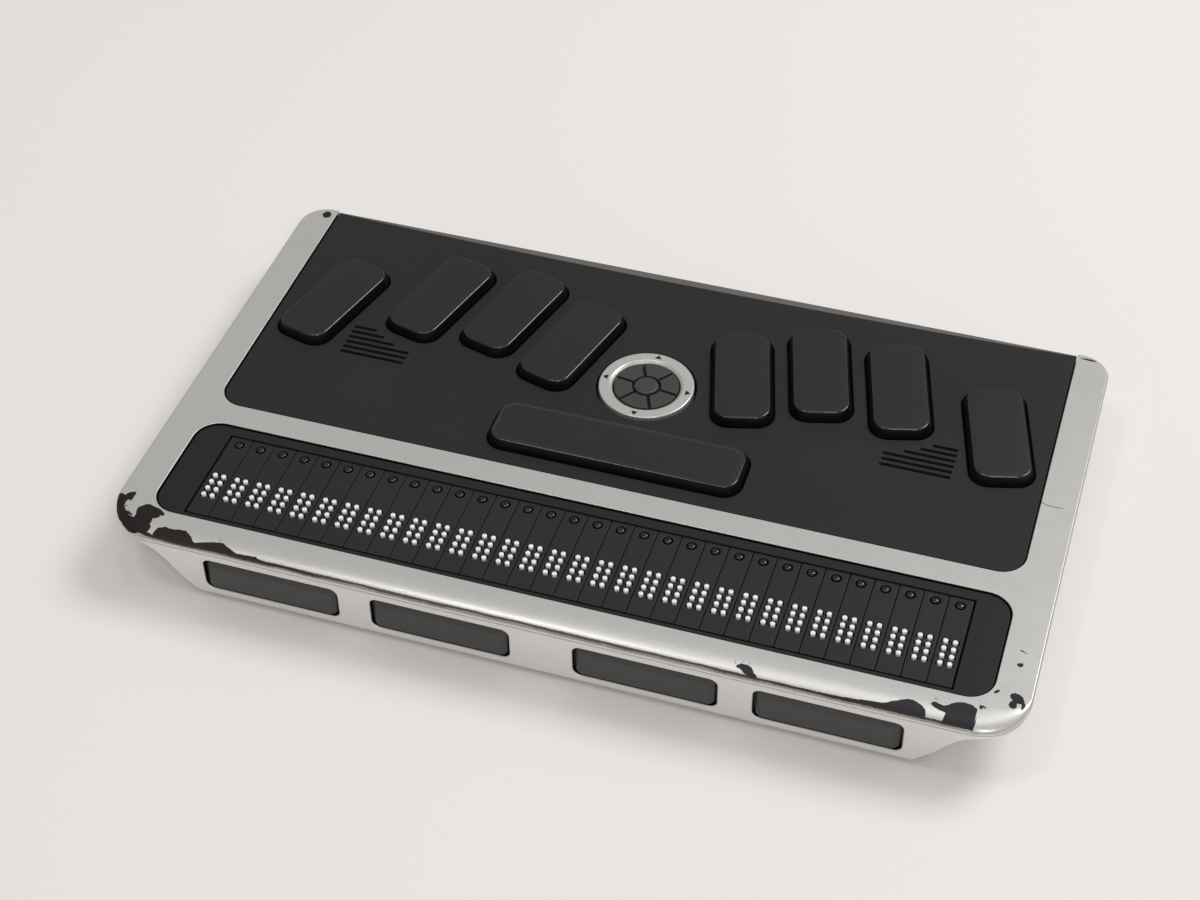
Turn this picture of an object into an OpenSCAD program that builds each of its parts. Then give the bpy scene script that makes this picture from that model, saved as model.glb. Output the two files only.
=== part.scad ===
// Braille notetaker: a flat case with eight braille keys, a space bar, a dial and a row of braille cells.
// Origin: centre of the footprint, on the surface that the feet stand on. +Y is the rear and +Z is up.

/* [Case] */
// Width over the frame
case_w = 244; // [222:1:270]
// Depth over the frame
case_d = 141; // [128:0.5:156]
// Height of the frame's top face above the table
top_z = 20; // [20:0.25:23]
// Height of the frame's rolled edge, down to the seam
frame_h = 2.6; // [2.4:0.1:3]
// Rise of the rolled edge
edge_r = 2.3; // [1:0.1:2.4]
// How far in over the top face the rolled edge runs
edge_run = 4.2; // [2:0.1:5]
// Plan radius of the front corners
front_r = 13; // [10:0.5:15]
// Plan radius of the rear corners
rear_r = 8; // [6:0.5:10]
// How far the sloped ends of the lower shell run in under the frame
end_run = 16; // [13:0.5:17]
// Height of the feet
foot_h = 1.2; // [0.8:0.1:1.6]
// Radius of a foot
foot_r = 5.5; // [4:0.5:7]
// Wall of the lower shell
wall = 1.8; // [1.5:0.1:2.2]
// Floor of the lower shell
floor_t = 1.8; // [1.6:0.1:2.2]

/* [Frame openings] */
// Width of each side arm of the frame
arm_w = 9.6; // [9:0.1:11]
// Depth of the front bar
front_bar = 9.1; // [8.8:0.1:10]
// Depth of the display opening
display_d = 35.3; // [35:0.1:37]
// Depth of the bar between the two panels
cross_bar = 7.6; // [7.4:0.1:9]
// Corner radius of both openings
opening_r = 7; // [5:0.5:8]
// How far the middle of the keyboard panel's rear edge is bowed forward
rear_bow = 2; // [1:0.1:2.5]

/* [Braille cells] */
// Least width of the black border at each end of the row of cells
display_end = 9.9; // [8:0.1:12]
// Distance between cells
cell_pitch = 6.4; // [6.2:0.05:6.4]
// Distance between dots of one cell
dot_pitch = 2.45; // [2.4:0.05:2.5]
// Length of a cell's cap
cap_l = 29.5; // [29:0.1:29.8]
// Radius of a pin
pin_r = 0.65; // [0.5:0.05:0.7]
// Height of a raised pin above its cap
dot_h = 0.7; // [0.5:0.05:0.9]
// Radius of a routing button
routing_r = 1.25; // [1:0.05:1.4]
// Travel of a routing button
routing_travel = 0.6; // [0.4:0.05:0.7]

/* [Keys] */
// Width of a braille key
key_w = 17.2; // [16.4:0.1:17.6]
// Length of a braille key
key_l = 36.6; // [35:0.2:37.2]
// Corner radius of a key
key_r = 5; // [4:0.25:6]
// Height of a key above the panel
key_h = 2.7; // [2:0.1:3.2]
// How far a key's walls lean in towards the top
key_draft = 1; // [0.4:0.1:1.2]
// Lean of the braille keys, in degrees
key_tilt = 15; // [12:0.5:16]
// Travel of a key
key_travel = 1.8; // [1:0.1:1.9]
// Gap round a key
key_gap = 0.4; // [0.3:0.05:0.5]
// Width of the space bar
space_w = 71.2; // [66:0.2:74]
// Depth of the space bar
space_d = 17.5; // [16:0.1:18]
// Width of a thumb key
thumb_w = 37.3; // [34:0.1:38]
// Height of a thumb key
thumb_h = 9.7; // [9:0.1:10]
// Travel of a thumb key
thumb_travel = 1; // [0.5:0.1:1.2]

/* [Dial] */
// Outer radius of the arrow ring
ring_r = 13.5; // [13:0.1:14]
// Inner radius of the arrow ring
ring_in = 9.5; // [9.4:0.05:9.8]
// Radius of the scroll wheel
wheel_r = 9.2; // [8.8:0.05:9.2]
// Radius of the select button
select_r = 3.4; // [3:0.05:3.45]
// Travel of the select button
select_travel = 0.6; // [0.4:0.05:0.7]

/* [Rear panel] */
// Bore radius of the audio jack
jack_r = 1.8; // [1.6:0.05:1.9]
// Bore radius of the power inlet
inlet_r = 2.75; // [2.4:0.05:3]
// Width of a USB socket
usb_w = 8; // [7.5:0.1:8.5]
// Width of the card slot
card_w = 26; // [24:0.5:28]
// Travel of the power switch
switch_travel = 4; // [3:0.5:5]

/* [Clearances] */
// Gap round fixed panels
fit_gap = 0.2; // [0.1:0.05:0.3]
// Gap beside sliding and tilting pieces
slide_gap = 0.15; // [0.12:0.01:0.2]
// Radial gap of the wheel on its post
turn_gap = 0.05; // [0.02:0.01:0.1]

/* [Hidden] */
$fn = 48;
hull_fn = 32;
thin = 0.01;
cut = 1;
half_w = case_w / 2;
half_d = case_d / 2;

// Levels
shell_z = foot_h;
floor_z = shell_z + floor_t;
seam_z = top_z - frame_h;
panel_drop = 0.3;
border_drop = 0.4;
cap_drop = 0.8;
panel_z = top_z - panel_drop;
border_z = top_z - border_drop;
flange_t = 1.6;
flange_z = seam_z - flange_t;
cap_t = 1.6;
cap_z = top_z - cap_drop;
cell_top = cap_z - cap_t;
cell_plate = 2;
board_t = 1.2;
key_flange_t = 1;
key_flange_z = seam_z - slide_gap - key_flange_t;
dome_low = 0.85;
board_top = key_flange_z - key_travel - dome_low;
board_z = board_top - board_t;

// Frame openings
open_w = case_w - 2 * arm_w;
display_front = -half_d + front_bar;
display_rear = display_front + display_d;
keyboard_front = display_rear + cross_bar;
hull_inset = 0.5;
bow_back = 0.5;
bite = 0.4;
shell_front = -half_d + hull_inset;
shell_rear = half_d - hull_inset;
lap = 1.5;
flange_rear = half_d - 6;
hull_band = 1.2;
hull_edge = 1;
hull_step = 0.4;

// Braille cells
cap_gap = 0.1;
cap_margin = 2.2;
cap_front = display_front + cap_margin;
cap_rear = cap_front + cap_l;
dot_in = 10.7;
dots_y = cap_front + dot_in;
routing_in = 2.5;
routing_y = cap_rear - routing_in;
cell_n = floor((open_w - 2 * display_end) / cell_pitch);
cells_w = cell_n * cell_pitch;
pin_hole = pin_r + slide_gap;
routing_gap = 0.2;
routing_hole = routing_r + routing_gap;
routing_flange = 0.65;
reed_t = 0.6;
reed_w = 2.1;
reed_step = 1.75;
reed_tip = 0.8;
reed_lift = 2.6;
reed_low = floor_z + reed_lift;
backplane_in = 32.6;
backplane_y = keyboard_front + backplane_in;

// Keys
key_flange = 0.8;
key_apart = 0.3;
space_in = 14.15;
space_y = keyboard_front + space_in;
space_back = space_y + space_d / 2;
dial_gap = 0.5;
dial_apart = 3.9;
dial_y = space_back + dial_apart + ring_r + dial_gap;
key_rim = key_gap + key_flange;
// Half of the depth that a leaning key takes with its flange
key_half_d = (key_w / 2 + key_rim - key_r) * sin(key_tilt) + (key_l / 2 + key_rim - key_r) * cos(key_tilt) + key_r;
key_rear_room = 8.5;
key_back_2 = 30.2;
key_back_3 = 30.4;
key_back_4 = 40.4;
// The inner pair shares what is left between the space bar and the rear edge
key_free_d = half_d - key_rear_room - space_back - key_rim - 2 * key_half_d;
key_front_share = 0.3806;
key_y = [
    space_back + key_rim + key_half_d + key_front_share * key_free_d,
    half_d - key_back_2, half_d - key_back_3, half_d - key_back_4
];
// Least distance of each pair from the dial or from the pair inside it, and the last place beside the frame
key_room = key_w + 2 * key_rim + key_apart;
key_step = [
    (ring_r + dial_gap + key_room / 2 - (key_y[0] - dial_y) * sin(key_tilt)) / cos(key_tilt),
    for (i = [1:3]) (key_room - (key_y[i] - key_y[i - 1]) * sin(key_tilt)) / cos(key_tilt)
];
key_half_w = (key_w / 2 + key_rim - key_r) * cos(key_tilt) + (key_l / 2 + key_rim - key_r) * sin(key_tilt) + key_r;
key_side = 0.4;
key_last = open_w / 2 - lap - key_side - key_half_w;
// What is left is shared out between the pairs
key_free = key_last - key_step[0] - key_step[1] - key_step[2] - key_step[3];
key_share = [0.2204, 0.1467, 0.1384, 0.4935];
key_x = [for (i = [0:3]) key_sum(key_step, i) + key_free * key_sum(key_share, i)];
function key_sum(list, last) = last == 0 ? list[0] : list[last] + key_sum(list, last - 1);
key_edge = 0.5;
key_round = 0.8;
key_wall = 1.5;
post_r = 1.2;
post_at = 11;
space_post_at = 28;
plunger_r = 3;
dome_r = 4;
dome_gap = 0.1;

// Thumb keys
thumb_flange = 1.2;
thumb_side = 27.7;
thumb_room = thumb_w + 2 * thumb_flange;
thumb_free = half_w - thumb_side - 2 * thumb_room;
thumb_mid_share = 0.51;
thumb_x = [thumb_room / 2 + thumb_mid_share * thumb_free, 1.5 * thumb_room + thumb_free];
thumb_low = 1.1;
thumb_z = floor_z + thumb_low;
thumb_gap = 0.35;
thumb_flange_t = 1;
thumb_back = shell_front + wall + 2 * slide_gap;
thumb_bevel = 1.2;
thumb_r = 1.8;
thumb_proud = 0.2;
thumb_dome_low = 1.2;
thumb_dome = thumb_travel + thumb_dome_low;
thumb_edge = thumb_x[1] + thumb_w / 2 + thumb_flange;
thumb_board_y = thumb_back + thumb_flange_t + dome_gap + thumb_dome;
thumb_board_over = 1.8;
thumb_board_h = thumb_h + thumb_board_over;

// Dial
ring_proud = 0.3;
ring_top = top_z + ring_proud;
pivot_r = 0.45;
pivot_gap = 0.1;
pivot_in = 10.4;
pivot_out = 12.6;
rocker_lift = 1.4;
rocker_z = board_top + rocker_lift;
rocker_t = 1.2;
rocker_in = 10.2;
rocker_out = 12.9;
ring_lift = 0.6;
ring_z = rocker_z + rocker_t + ring_lift;
wheel_top = top_z;
wheel_z = ring_z;
post_out = 5;
select_gap = 0.6;
wheel_hole = select_r + select_gap;
wheel_cap = 1.4;
groove_w = 0.6;
groove_d = 0.5;
groove_n = 6;
groove_turn = -8;
base_t = 0.8;

// Speakers: slot lengths from the rear to the front
slot_l = [7, 10, 14, 19.3, 19.3, 19.3];
slot_h = 0.95;
slot_step = 2.16;
slot_side = 0.7;
slot_back = 0.5;
slot_outer = key_x[3] - key_w / 2 - slot_side;
slot_rear = key_y[2] - key_l / 2 + slot_back;
speaker_w = 19;
speaker_d = 10;
speaker_h = 3.4;

// Lower case
bay_side = 77;
bay_w = case_w - 2 * bay_side;
bay_in = 5;
bay_back = 10;
bay_front = backplane_y + bay_in;
bay_rear = half_d - bay_back;
bay_lip = 2.5;
lip_t = 0.9;
battery_h = 5.8;
standoff = 1.6;
standoff_r = 2.2;
pcb_z = floor_z + standoff;
pcb_t = 1.2;
pcb_apart = 3;
pcb_side = 20;
pcb_over = 1;
pcb_in = bay_w / 2 + pcb_apart;
pcb_w = half_w - pcb_side - pcb_in;
pcb_front = bay_front - pcb_over;
pcb_rear = bay_rear + pcb_over;
chip_h = 1.6;
chip_in = 16;
chip_w = 22;
chip_d = 18;
radio_in = 12;
radio_w = 18;
radio_d = 12;
grip_w = 18;
grip_d = 6;
boss_r = 2.1;
screw_r = 1.2;
screw_gap = 0.05;
screw_head = 2.2;
screw_sink = 0.3;
screw_head_t = 1.1;
screw_l = 8;
drive_w = 0.6;
boss_gap = 0.4;
screw_side = 22;
screw_back = 4.6;
screw_at = [
    [thumb_edge + boss_gap + boss_r, display_front - lap - fit_gap - boss_r], [half_w - screw_side, half_d - screw_back]
];
foot_side = 37;
foot_back = 16;
foot_at = [half_w - foot_side, half_d - foot_back];
foot_seat = 0.5;
post_mid = 4;
post_lean = 2.35;
post_back = [12.5, 8.7];
post_front = [9, 12];
panel_post = [
    [post_mid, half_d - post_back[0]],
    [(key_x[2] + key_x[3]) / 2 - post_lean, half_d - post_back[1]],
    [half_w - screw_side, keyboard_front + post_front[0]],
    [(space_w / 2 + slot_outer - max(slot_l)) / 2, keyboard_front + post_front[1]]
];

// Rear ports, measured from the middle
cover_side = 18;
cover_low = 1.7;
cover_w = case_w - 2 * cover_side;
cover_z = floor_z + cover_low;
port_in = 14;
port_step = 12;
card_in = 26;
switch_step = 38;
jack_x = cover_w / 2 - port_in;
usb_x = [jack_x - 2 * port_step, jack_x - port_step];
inlet_x = jack_x - 3 * port_step;
card_x = card_in - cover_w / 2;
switch_x = card_x + switch_step;
port_depth = 12;
chip_y = (pcb_front + shell_rear - port_depth) / 2;
usb_h = 4;
usb_wall = 0.5;
jack_body = 2 * jack_r + 2.8;
inlet_body = 2 * inlet_r + 0.9;
card_h = 3.4;
card_mouth = 2;
switch_w = 5;
switch_h = 2.6;
switch_lift = 9.2;
switch_z = floor_z + switch_lift;
switch_rim = 1.5;

SIDES = [-1, 1];
CELLS = [for (i = [0:cell_n - 1]) (i - (cell_n - 1) / 2) * cell_pitch];
// Column and row of dots 1 to 8, row 0 at the rear
DOT_COLUMN = [-1, -1, -1, 1, 1, 1, -1, 1];
DOT_ROW = [0, 1, 2, 0, 1, 2, 3, 3];

// Shared shapes

// Rounded rectangle round the origin
module rounded(w, d, r) {
    square([w - 2 * r, d], center = true);
    square([w, d - 2 * r], center = true);
    for (sx = SIDES, sy = SIDES) translate([sx * (w / 2 - r), sy * (d / 2 - r)]) circle(r);
}

// Thin slice of the case's plan outline, drawn in by dx at the ends and by dy at the front and rear
module plan_slice(dx, dy, z) {
    grow = max(dx - end_run, min(dx, dy), 0);
    for (sx = SIDES) {
        rf = front_r - grow;
        rr = rear_r - grow;
        translate([sx * (half_w - dx - rf), -half_d + dy + rf, z]) cylinder(r = rf, h = thin, $fn = hull_fn);
        translate([sx * (half_w - dx - rr), half_d - dy - rr, z]) cylinder(r = rr, h = thin, $fn = hull_fn);
    }
}

// Box from a low corner to a high corner
module span(low, high) {
    translate(low) cube(high - low);
}

// Places its children at the seat of braille key n, where keys 1, 2, 3 and 7 are on the left
module at_key(n) {
    left = n <= 3 || n == 7;
    pair = n == 7 || n == 8 ? 3 : left ? n - 1 : n - 4;
    side = left ? -1 : 1;
    translate([side * key_x[pair], key_y[pair], 0]) rotate([0, 0, side * key_tilt]) children();
}

// Cap of a key with drafted walls, a flange that the panel holds, a plunger and two guide posts
module key_body(w, d, posts) {
    difference() {
        union() {
            hull() {
                for (layer = [
                    [0, key_flange_z + key_flange_t / 2], [0, panel_z],
                    [key_draft - key_edge / 2, panel_z + key_h - key_edge],
                    [key_draft, panel_z + key_h - key_edge / 3], [key_draft + key_edge, panel_z + key_h - thin]
                ])
                    key_slice(w - 2 * layer[0], d - 2 * layer[0], key_r - key_round * layer[0], layer[1]);
            }
            translate([0, 0, key_flange_z])
                linear_extrude(key_flange_t)
                    rounded(w + 2 * key_gap + 2 * key_flange, d + 2 * key_gap + 2 * key_flange, key_r);
        }
        translate([0, 0, key_flange_z - cut])
            linear_extrude(panel_z + key_h - key_wall - key_flange_z + cut)
                rounded(w - 2 * key_wall - 2 * key_draft, d - 2 * key_wall - 2 * key_draft, key_r - key_wall);
    }
    roof = panel_z + key_h - key_wall;
    translate([0, 0, key_flange_z]) cylinder(r = plunger_r, h = roof - key_flange_z);
    for (p = posts)
        translate([p[0], p[1], board_z - slide_gap]) cylinder(r = post_r, h = roof - board_z + slide_gap);
}

module key_slice(w, d, r, z) {
    for (sx = SIDES, sy = SIDES)
        translate([sx * (w / 2 - r), sy * (d / 2 - r), z]) cylinder(r = r, h = thin, $fn = hull_fn);
}

// Hollow rubber dome
module dome(r, h) {
    skin = min(0.5, h / 3);
    top = r * 0.55;
    rotate_extrude()
        polygon([
            [r - skin, 0], [r, 0], [top, h - skin], [top, h], [0, h], [0, h - skin], [top - skin, h - skin]
        ]);
}

// Posts of a braille key and of the space bar
key_posts = [[0, -post_at], [0, post_at]];
space_posts = [[-space_post_at, 0], [space_post_at, 0]];

// Holes through which a key's guide posts run
module post_holes(posts) {
    for (p = posts)
        translate([p[0], p[1], board_z - cut]) cylinder(r = post_r + slide_gap, h = board_t + 2 * cut);
}

// Rear edge of the keyboard panel, from the left to the right, moved back by gap
function bow_edge(gap) = [
    for (i = [-8:8])
        let (x = i / 8 * (open_w / 2 + cut))
            [x, shell_rear - bow_back - rear_bow * (1 - (i / 8) * (i / 8)) + gap]
];

// Case

module top_frame() {
    boss = screw_at[0];
    color([0.74, 0.74, 0.73]) {
        difference() {
            hull() {
                plan_slice(0, 0, seam_z);
                for (a = [0:18:90])
                    let (roll = edge_run * (1 - cos(a)))
                        plan_slice(roll, roll, top_z - edge_r + edge_r * sin(a) - thin);
            }
            translate([0, (display_front + display_rear) / 2, seam_z - cut])
                linear_extrude(frame_h + 2 * cut) rounded(open_w, display_d, opening_r);
            translate([0, 0, seam_z - cut]) linear_extrude(frame_h + 2 * cut) keyboard_outline(0);
            translate([-open_w / 2, half_d - 2 * opening_r, seam_z - cut])
                cube([open_w, 2 * opening_r + cut, frame_h + 2 * cut]);
        }
        for (sx = SIDES)
            translate([sx * boss[0], boss[1], floor_z])
                difference() {
                    cylinder(r = boss_r, h = seam_z - floor_z + bite);
                    translate([0, 0, -cut]) cylinder(r = screw_r + screw_gap, h = screw_l + cut);
                }
    }
}

// Plan of the keyboard opening, drawn in by gap, with its square rear end at the back of the frame
module keyboard_outline(gap) {
    depth = half_d - keyboard_front;
    translate([0, keyboard_front + depth / 2])
        rounded(open_w - 2 * gap, depth - 2 * gap, opening_r - gap);
}

module lower_shell() {
    color([0.72, 0.72, 0.71]) {
        difference() {
            hull() {
                plan_slice(hull_inset, hull_inset, seam_z - thin);
                plan_slice(hull_inset, hull_inset, seam_z - hull_band);
                plan_slice(end_run, hull_inset, shell_z + hull_edge);
                plan_slice(end_run + hull_edge, hull_inset + hull_edge, shell_z);
            }
            hull() {
                plan_slice(hull_inset + wall, hull_inset + wall, seam_z + cut);
                plan_slice(hull_inset + wall, hull_inset + wall, seam_z - hull_band - hull_step);
                plan_slice(end_run + wall, hull_inset + wall, floor_z);
            }
            for (x = thumb_x, sx = SIDES)
                translate([sx * x, shell_front + wall + cut, thumb_z + thumb_h / 2])
                    rotate([90, 0, 0])
                        linear_extrude(wall + 2 * cut)
                            rounded(thumb_w + 2 * thumb_gap, thumb_h + 2 * thumb_gap, thumb_r + thumb_gap);
            span([-cover_w / 2, shell_rear - wall - cut, cover_z], [cover_w / 2, half_d + cut, top_z + cut]);
            span([-bay_w / 2, bay_front, shell_z - cut], [bay_w / 2, bay_rear, floor_z + cut]);
            span(
                [-bay_w / 2 - bay_lip, bay_front - bay_lip, shell_z - cut],
                [bay_w / 2 + bay_lip, bay_rear + bay_lip, shell_z + lip_t]
            );
            for (sx = SIDES, sy = SIDES)
                translate([sx * foot_at[0], sy * foot_at[1], shell_z - cut])
                    cylinder(r = foot_r + fit_gap / 2, h = foot_seat + cut);
            for (p = screw_at, sx = SIDES) translate([sx * p[0], p[1], shell_z - cut]) {
                cylinder(r = screw_r + fit_gap, h = floor_t + 2 * cut);
                cylinder(r = screw_head + fit_gap, h = screw_sink + screw_head_t + cut);
            }
        }
        for (sx = SIDES, x = [pcb_in + 4, pcb_in + pcb_w - 6], y = [pcb_front + 4, pcb_rear - 4])
            translate([sx * x, y, floor_z - bite]) cylinder(r = standoff_r, h = standoff + bite);
    }
}

module keyboard_panel() {
    boss = screw_at[1];
    color([0.12, 0.12, 0.125]) {
        difference() {
            union() {
                translate([0, 0, seam_z])
                    linear_extrude(panel_z - seam_z)
                        intersection() {
                            union() {
                                keyboard_outline(fit_gap);
                                translate([-open_w / 2 + fit_gap, half_d - 3 * opening_r])
                                    square([open_w - 2 * fit_gap, 3 * opening_r]);
                            }
                            keyboard_rear_limit(0);
                        }
                difference() {
                    span([-open_w / 2 - lap, keyboard_front - lap, flange_z], [open_w / 2 + lap, flange_rear, seam_z]);
                    span(
                        [-open_w / 2 + lap, keyboard_front + lap, flange_z - cut],
                        [open_w / 2 - lap, half_d, seam_z + cut]
                    );
                }
            }
            for (n = [1:8])
                at_key(n) translate([0, 0, flange_z - cut])
                    linear_extrude(panel_z - flange_z + 2 * cut)
                        rounded(key_w + 2 * key_gap, key_l + 2 * key_gap, key_r + key_gap);
            translate([0, space_y, seam_z - cut])
                linear_extrude(panel_z - seam_z + 2 * cut)
                    rounded(space_w + 2 * key_gap, space_d + 2 * key_gap, key_r + key_gap);
            translate([0, dial_y, seam_z - cut]) cylinder(r = ring_r + dial_gap, h = panel_z - seam_z + 2 * cut);
            for (i = [0:len(slot_l) - 1], sx = SIDES)
                translate([sx * (slot_outer - slot_l[i] / 2), slot_rear - i * slot_step, seam_z - cut])
                    linear_extrude(panel_z - seam_z + 2 * cut) rounded(slot_l[i], slot_h, slot_h / 2 - thin);
        }
        for (p = panel_post, sx = SIDES)
            translate([sx * p[0], p[1], board_top]) cylinder(r = boss_r, h = seam_z - board_top + bite);
        for (sx = SIDES)
            translate([sx * boss[0], boss[1], floor_z])
                difference() {
                    cylinder(r = boss_r, h = seam_z - floor_z + bite);
                    translate([0, 0, -cut]) cylinder(r = screw_r + screw_gap, h = screw_l + cut);
                }
    }
}

// Everything in front of the keyboard panel's bowed rear edge
module keyboard_rear_limit(gap) {
    edge = bow_edge(gap);
    polygon(concat([[-half_w, -half_d], [-half_w, edge[0][1]]], edge, [[half_w, edge[0][1]], [half_w, -half_d]]));
}

module display_panel() {
    mid = (display_front + display_rear) / 2;
    color([0.1, 0.1, 0.105])
        difference() {
            union() {
                translate([0, mid, seam_z])
                    linear_extrude(border_z - seam_z)
                        rounded(open_w - 2 * fit_gap, display_d - 2 * fit_gap, opening_r - fit_gap);
                translate([0, mid, flange_z])
                    linear_extrude(flange_t) rounded(open_w + 2 * lap, display_d + 2 * lap, opening_r);
            }
            span(
                [-cells_w / 2 - fit_gap, cap_front - fit_gap, flange_z - cut],
                [cells_w / 2 + fit_gap, cap_rear + fit_gap, border_z + cut]
            );
        }
}

module rear_cover() {
    color([0.38, 0.36, 0.34])
        difference() {
            union() {
                span(
                    [-cover_w / 2 + fit_gap, shell_rear - wall, cover_z + fit_gap],
                    [cover_w / 2 - fit_gap, shell_rear, seam_z]
                );
                translate([0, 0, seam_z - thin])
                    linear_extrude(border_z - seam_z + thin)
                        difference() {
                            translate([-open_w / 2 + fit_gap, shell_rear - rear_bow - 1])
                                square([open_w - 2 * fit_gap, rear_bow + 1]);
                            keyboard_rear_limit(cap_gap);
                        }
            }
            for (x = usb_x) port_cut(x, usb_w, pcb_z + pcb_t, usb_h);
            port_cut(jack_x, jack_body, pcb_z + pcb_t, jack_body);
            port_cut(inlet_x, inlet_body, pcb_z + pcb_t, inlet_body);
            port_cut(card_x, card_w, pcb_z + pcb_t, card_h);
            port_cut(switch_x + switch_travel / 2, switch_w + switch_travel, switch_z, switch_h);
        }
}

// Window in the rear cover round a socket
module port_cut(x, w, z, h) {
    span(
        [x - w / 2 - fit_gap, shell_rear - wall - cut, z - fit_gap],
        [x + w / 2 + fit_gap, shell_rear + cut, z + h + fit_gap]
    );
}

module battery_cover() {
    color([0.66, 0.66, 0.65])
        difference() {
            union() {
                span(
                    [-bay_w / 2 - bay_lip + fit_gap, bay_front - bay_lip + fit_gap, shell_z],
                    [bay_w / 2 + bay_lip - fit_gap, bay_rear + bay_lip - fit_gap, shell_z + lip_t]
                );
                span(
                    [-bay_w / 2 + fit_gap, bay_front + fit_gap, shell_z + lip_t - thin],
                    [bay_w / 2 - fit_gap, bay_rear - fit_gap, floor_z]
                );
            }
            translate([0, bay_front + grip_d, shell_z - cut])
                linear_extrude(cut + lip_t) rounded(grip_w, grip_d, grip_d / 2 - thin);
        }
}

module rubber_feet() {
    color([0.08, 0.08, 0.08])
        for (sx = SIDES, sy = SIDES)
            translate([sx * foot_at[0], sy * foot_at[1], 0]) {
                cylinder(r1 = foot_r - foot_seat, r2 = foot_r, h = foot_seat);
                translate([0, 0, foot_seat - thin]) cylinder(r = foot_r, h = foot_h + thin);
            }
}

module case_screws() {
    color([0.55, 0.55, 0.56])
        for (p = screw_at, sx = SIDES)
            translate([sx * p[0], p[1], shell_z + screw_sink])
                difference() {
                    union() {
                        cylinder(r = screw_head, h = screw_head_t);
                        cylinder(r = screw_r, h = screw_l);
                    }
                    for (a = [0, 90])
                        rotate([0, 0, a]) translate([0, 0, -cut])
                            linear_extrude(cut + drive_w) square([2 * screw_r, drive_w], center = true);
                }
}

// Inside the case

module battery_pack() {
    color([0.2, 0.35, 0.55])
        span(
            [-bay_w / 2 + 2 * fit_gap, bay_front + 2 * fit_gap, floor_z],
            [bay_w / 2 - 2 * fit_gap, bay_rear - 2 * fit_gap, floor_z + battery_h]
        );
}

module main_board() {
    color([0.1, 0.4, 0.25]) {
        span([pcb_in, pcb_front, pcb_z], [pcb_in + pcb_w, pcb_rear, pcb_z + pcb_t]);
        span(
            [pcb_in + chip_in, chip_y - chip_d / 2, pcb_z + pcb_t - thin],
            [pcb_in + chip_in + chip_w, chip_y + chip_d / 2, pcb_z + pcb_t + chip_h]
        );
    }
}

module radio_board() {
    color([0.1, 0.35, 0.3]) {
        span([-pcb_in - pcb_w, pcb_front, pcb_z], [-pcb_in, pcb_rear, pcb_z + pcb_t]);
        span(
            [-pcb_in - radio_in - radio_w, chip_y - radio_d / 2, pcb_z + pcb_t - thin],
            [-pcb_in - radio_in, chip_y + radio_d / 2, pcb_z + pcb_t + chip_h]
        );
    }
}

module keyboard_board() {
    color([0.1, 0.42, 0.22])
        difference() {
            union() {
                span([-cells_w / 2, routing_y - 3.8, board_z], [cells_w / 2, keyboard_front + 6, board_top]);
                span([-open_w / 2 + 6, keyboard_front + 3, board_z], [open_w / 2 - 6, half_d - 8.5, board_top]);
            }
            for (n = [1:8]) at_key(n) post_holes(key_posts);
            translate([0, space_y, 0]) post_holes(space_posts);
        }
}

module key_domes() {
    h = key_flange_z - dome_gap - board_top;
    color([0.3, 0.3, 0.32]) {
        for (n = [1:8]) at_key(n) translate([0, 0, board_top]) dome(dome_r, h);
        translate([0, space_y, board_top]) dome(dome_r, h);
    }
}

module thumb_key_board() {
    color([0.1, 0.42, 0.22])
        span(
            [-thumb_edge, thumb_board_y, floor_z],
            [thumb_edge, thumb_board_y + board_t, floor_z + thumb_board_h]
        );
}

module thumb_domes() {
    color([0.3, 0.3, 0.32])
        for (x = thumb_x, sx = SIDES)
            translate([sx * x, thumb_board_y, thumb_z + thumb_h / 2]) rotate([90, 0, 0]) dome(dome_r, thumb_dome);
}

module speakers() {
    slot_mid = slot_rear - slot_step * (len(slot_l) - 1) / 2;
    color([0.15, 0.15, 0.16])
        for (sx = SIDES)
            translate([sx * (slot_outer - speaker_w / 2), slot_mid - 2.4, board_top])
                linear_extrude(speaker_h) rounded(speaker_w, speaker_d, speaker_d / 2 - thin);
}

module cell_caps() {
    color([0.13, 0.13, 0.135])
        for (x = CELLS)
            difference() {
                span(
                    [x - (cell_pitch - cap_gap) / 2, cap_front, cell_top],
                    [x + (cell_pitch - cap_gap) / 2, cap_rear, cap_z]
                );
                cell_holes(x, cell_top, cap_t);
            }
}

// Pin holes and routing hole of the cell at x
module cell_holes(x, z, t) {
    for (n = [0:7])
        translate([x + dot_x(n), dot_y(n), z - cut]) cylinder(r = pin_hole, h = t + 2 * cut, $fn = 16);
    translate([x, routing_y, z - cut]) cylinder(r = routing_hole, h = t + 2 * cut, $fn = 24);
}

function dot_x(n) = DOT_COLUMN[n] * dot_pitch / 2;
function dot_y(n) = dots_y + (1.5 - DOT_ROW[n]) * dot_pitch;
function reed_z(n) = reed_low + (3 - DOT_ROW[n]) * reed_step;

module cell_frames() {
    color([0.75, 0.75, 0.7])
        for (x = CELLS)
            difference() {
                translate([x + (cell_pitch - cap_gap) / 2, 0, 0])
                    rotate([90, 0, -90])
                        linear_extrude(cell_pitch - cap_gap)
                            polygon([
                                [-backplane_y, floor_z], [-cap_front, floor_z], [-cap_front, cell_top],
                                [-cap_rear, cell_top], [-cap_rear, cell_top - cell_plate],
                                [-cap_front - 2.5, cell_top - cell_plate], [-cap_front - 2.5, floor_z + 1.4],
                                [-backplane_y, floor_z + 1.4]
                            ]);
                cell_holes(x, cell_top - cell_plate, cell_plate);
            }
}

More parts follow.
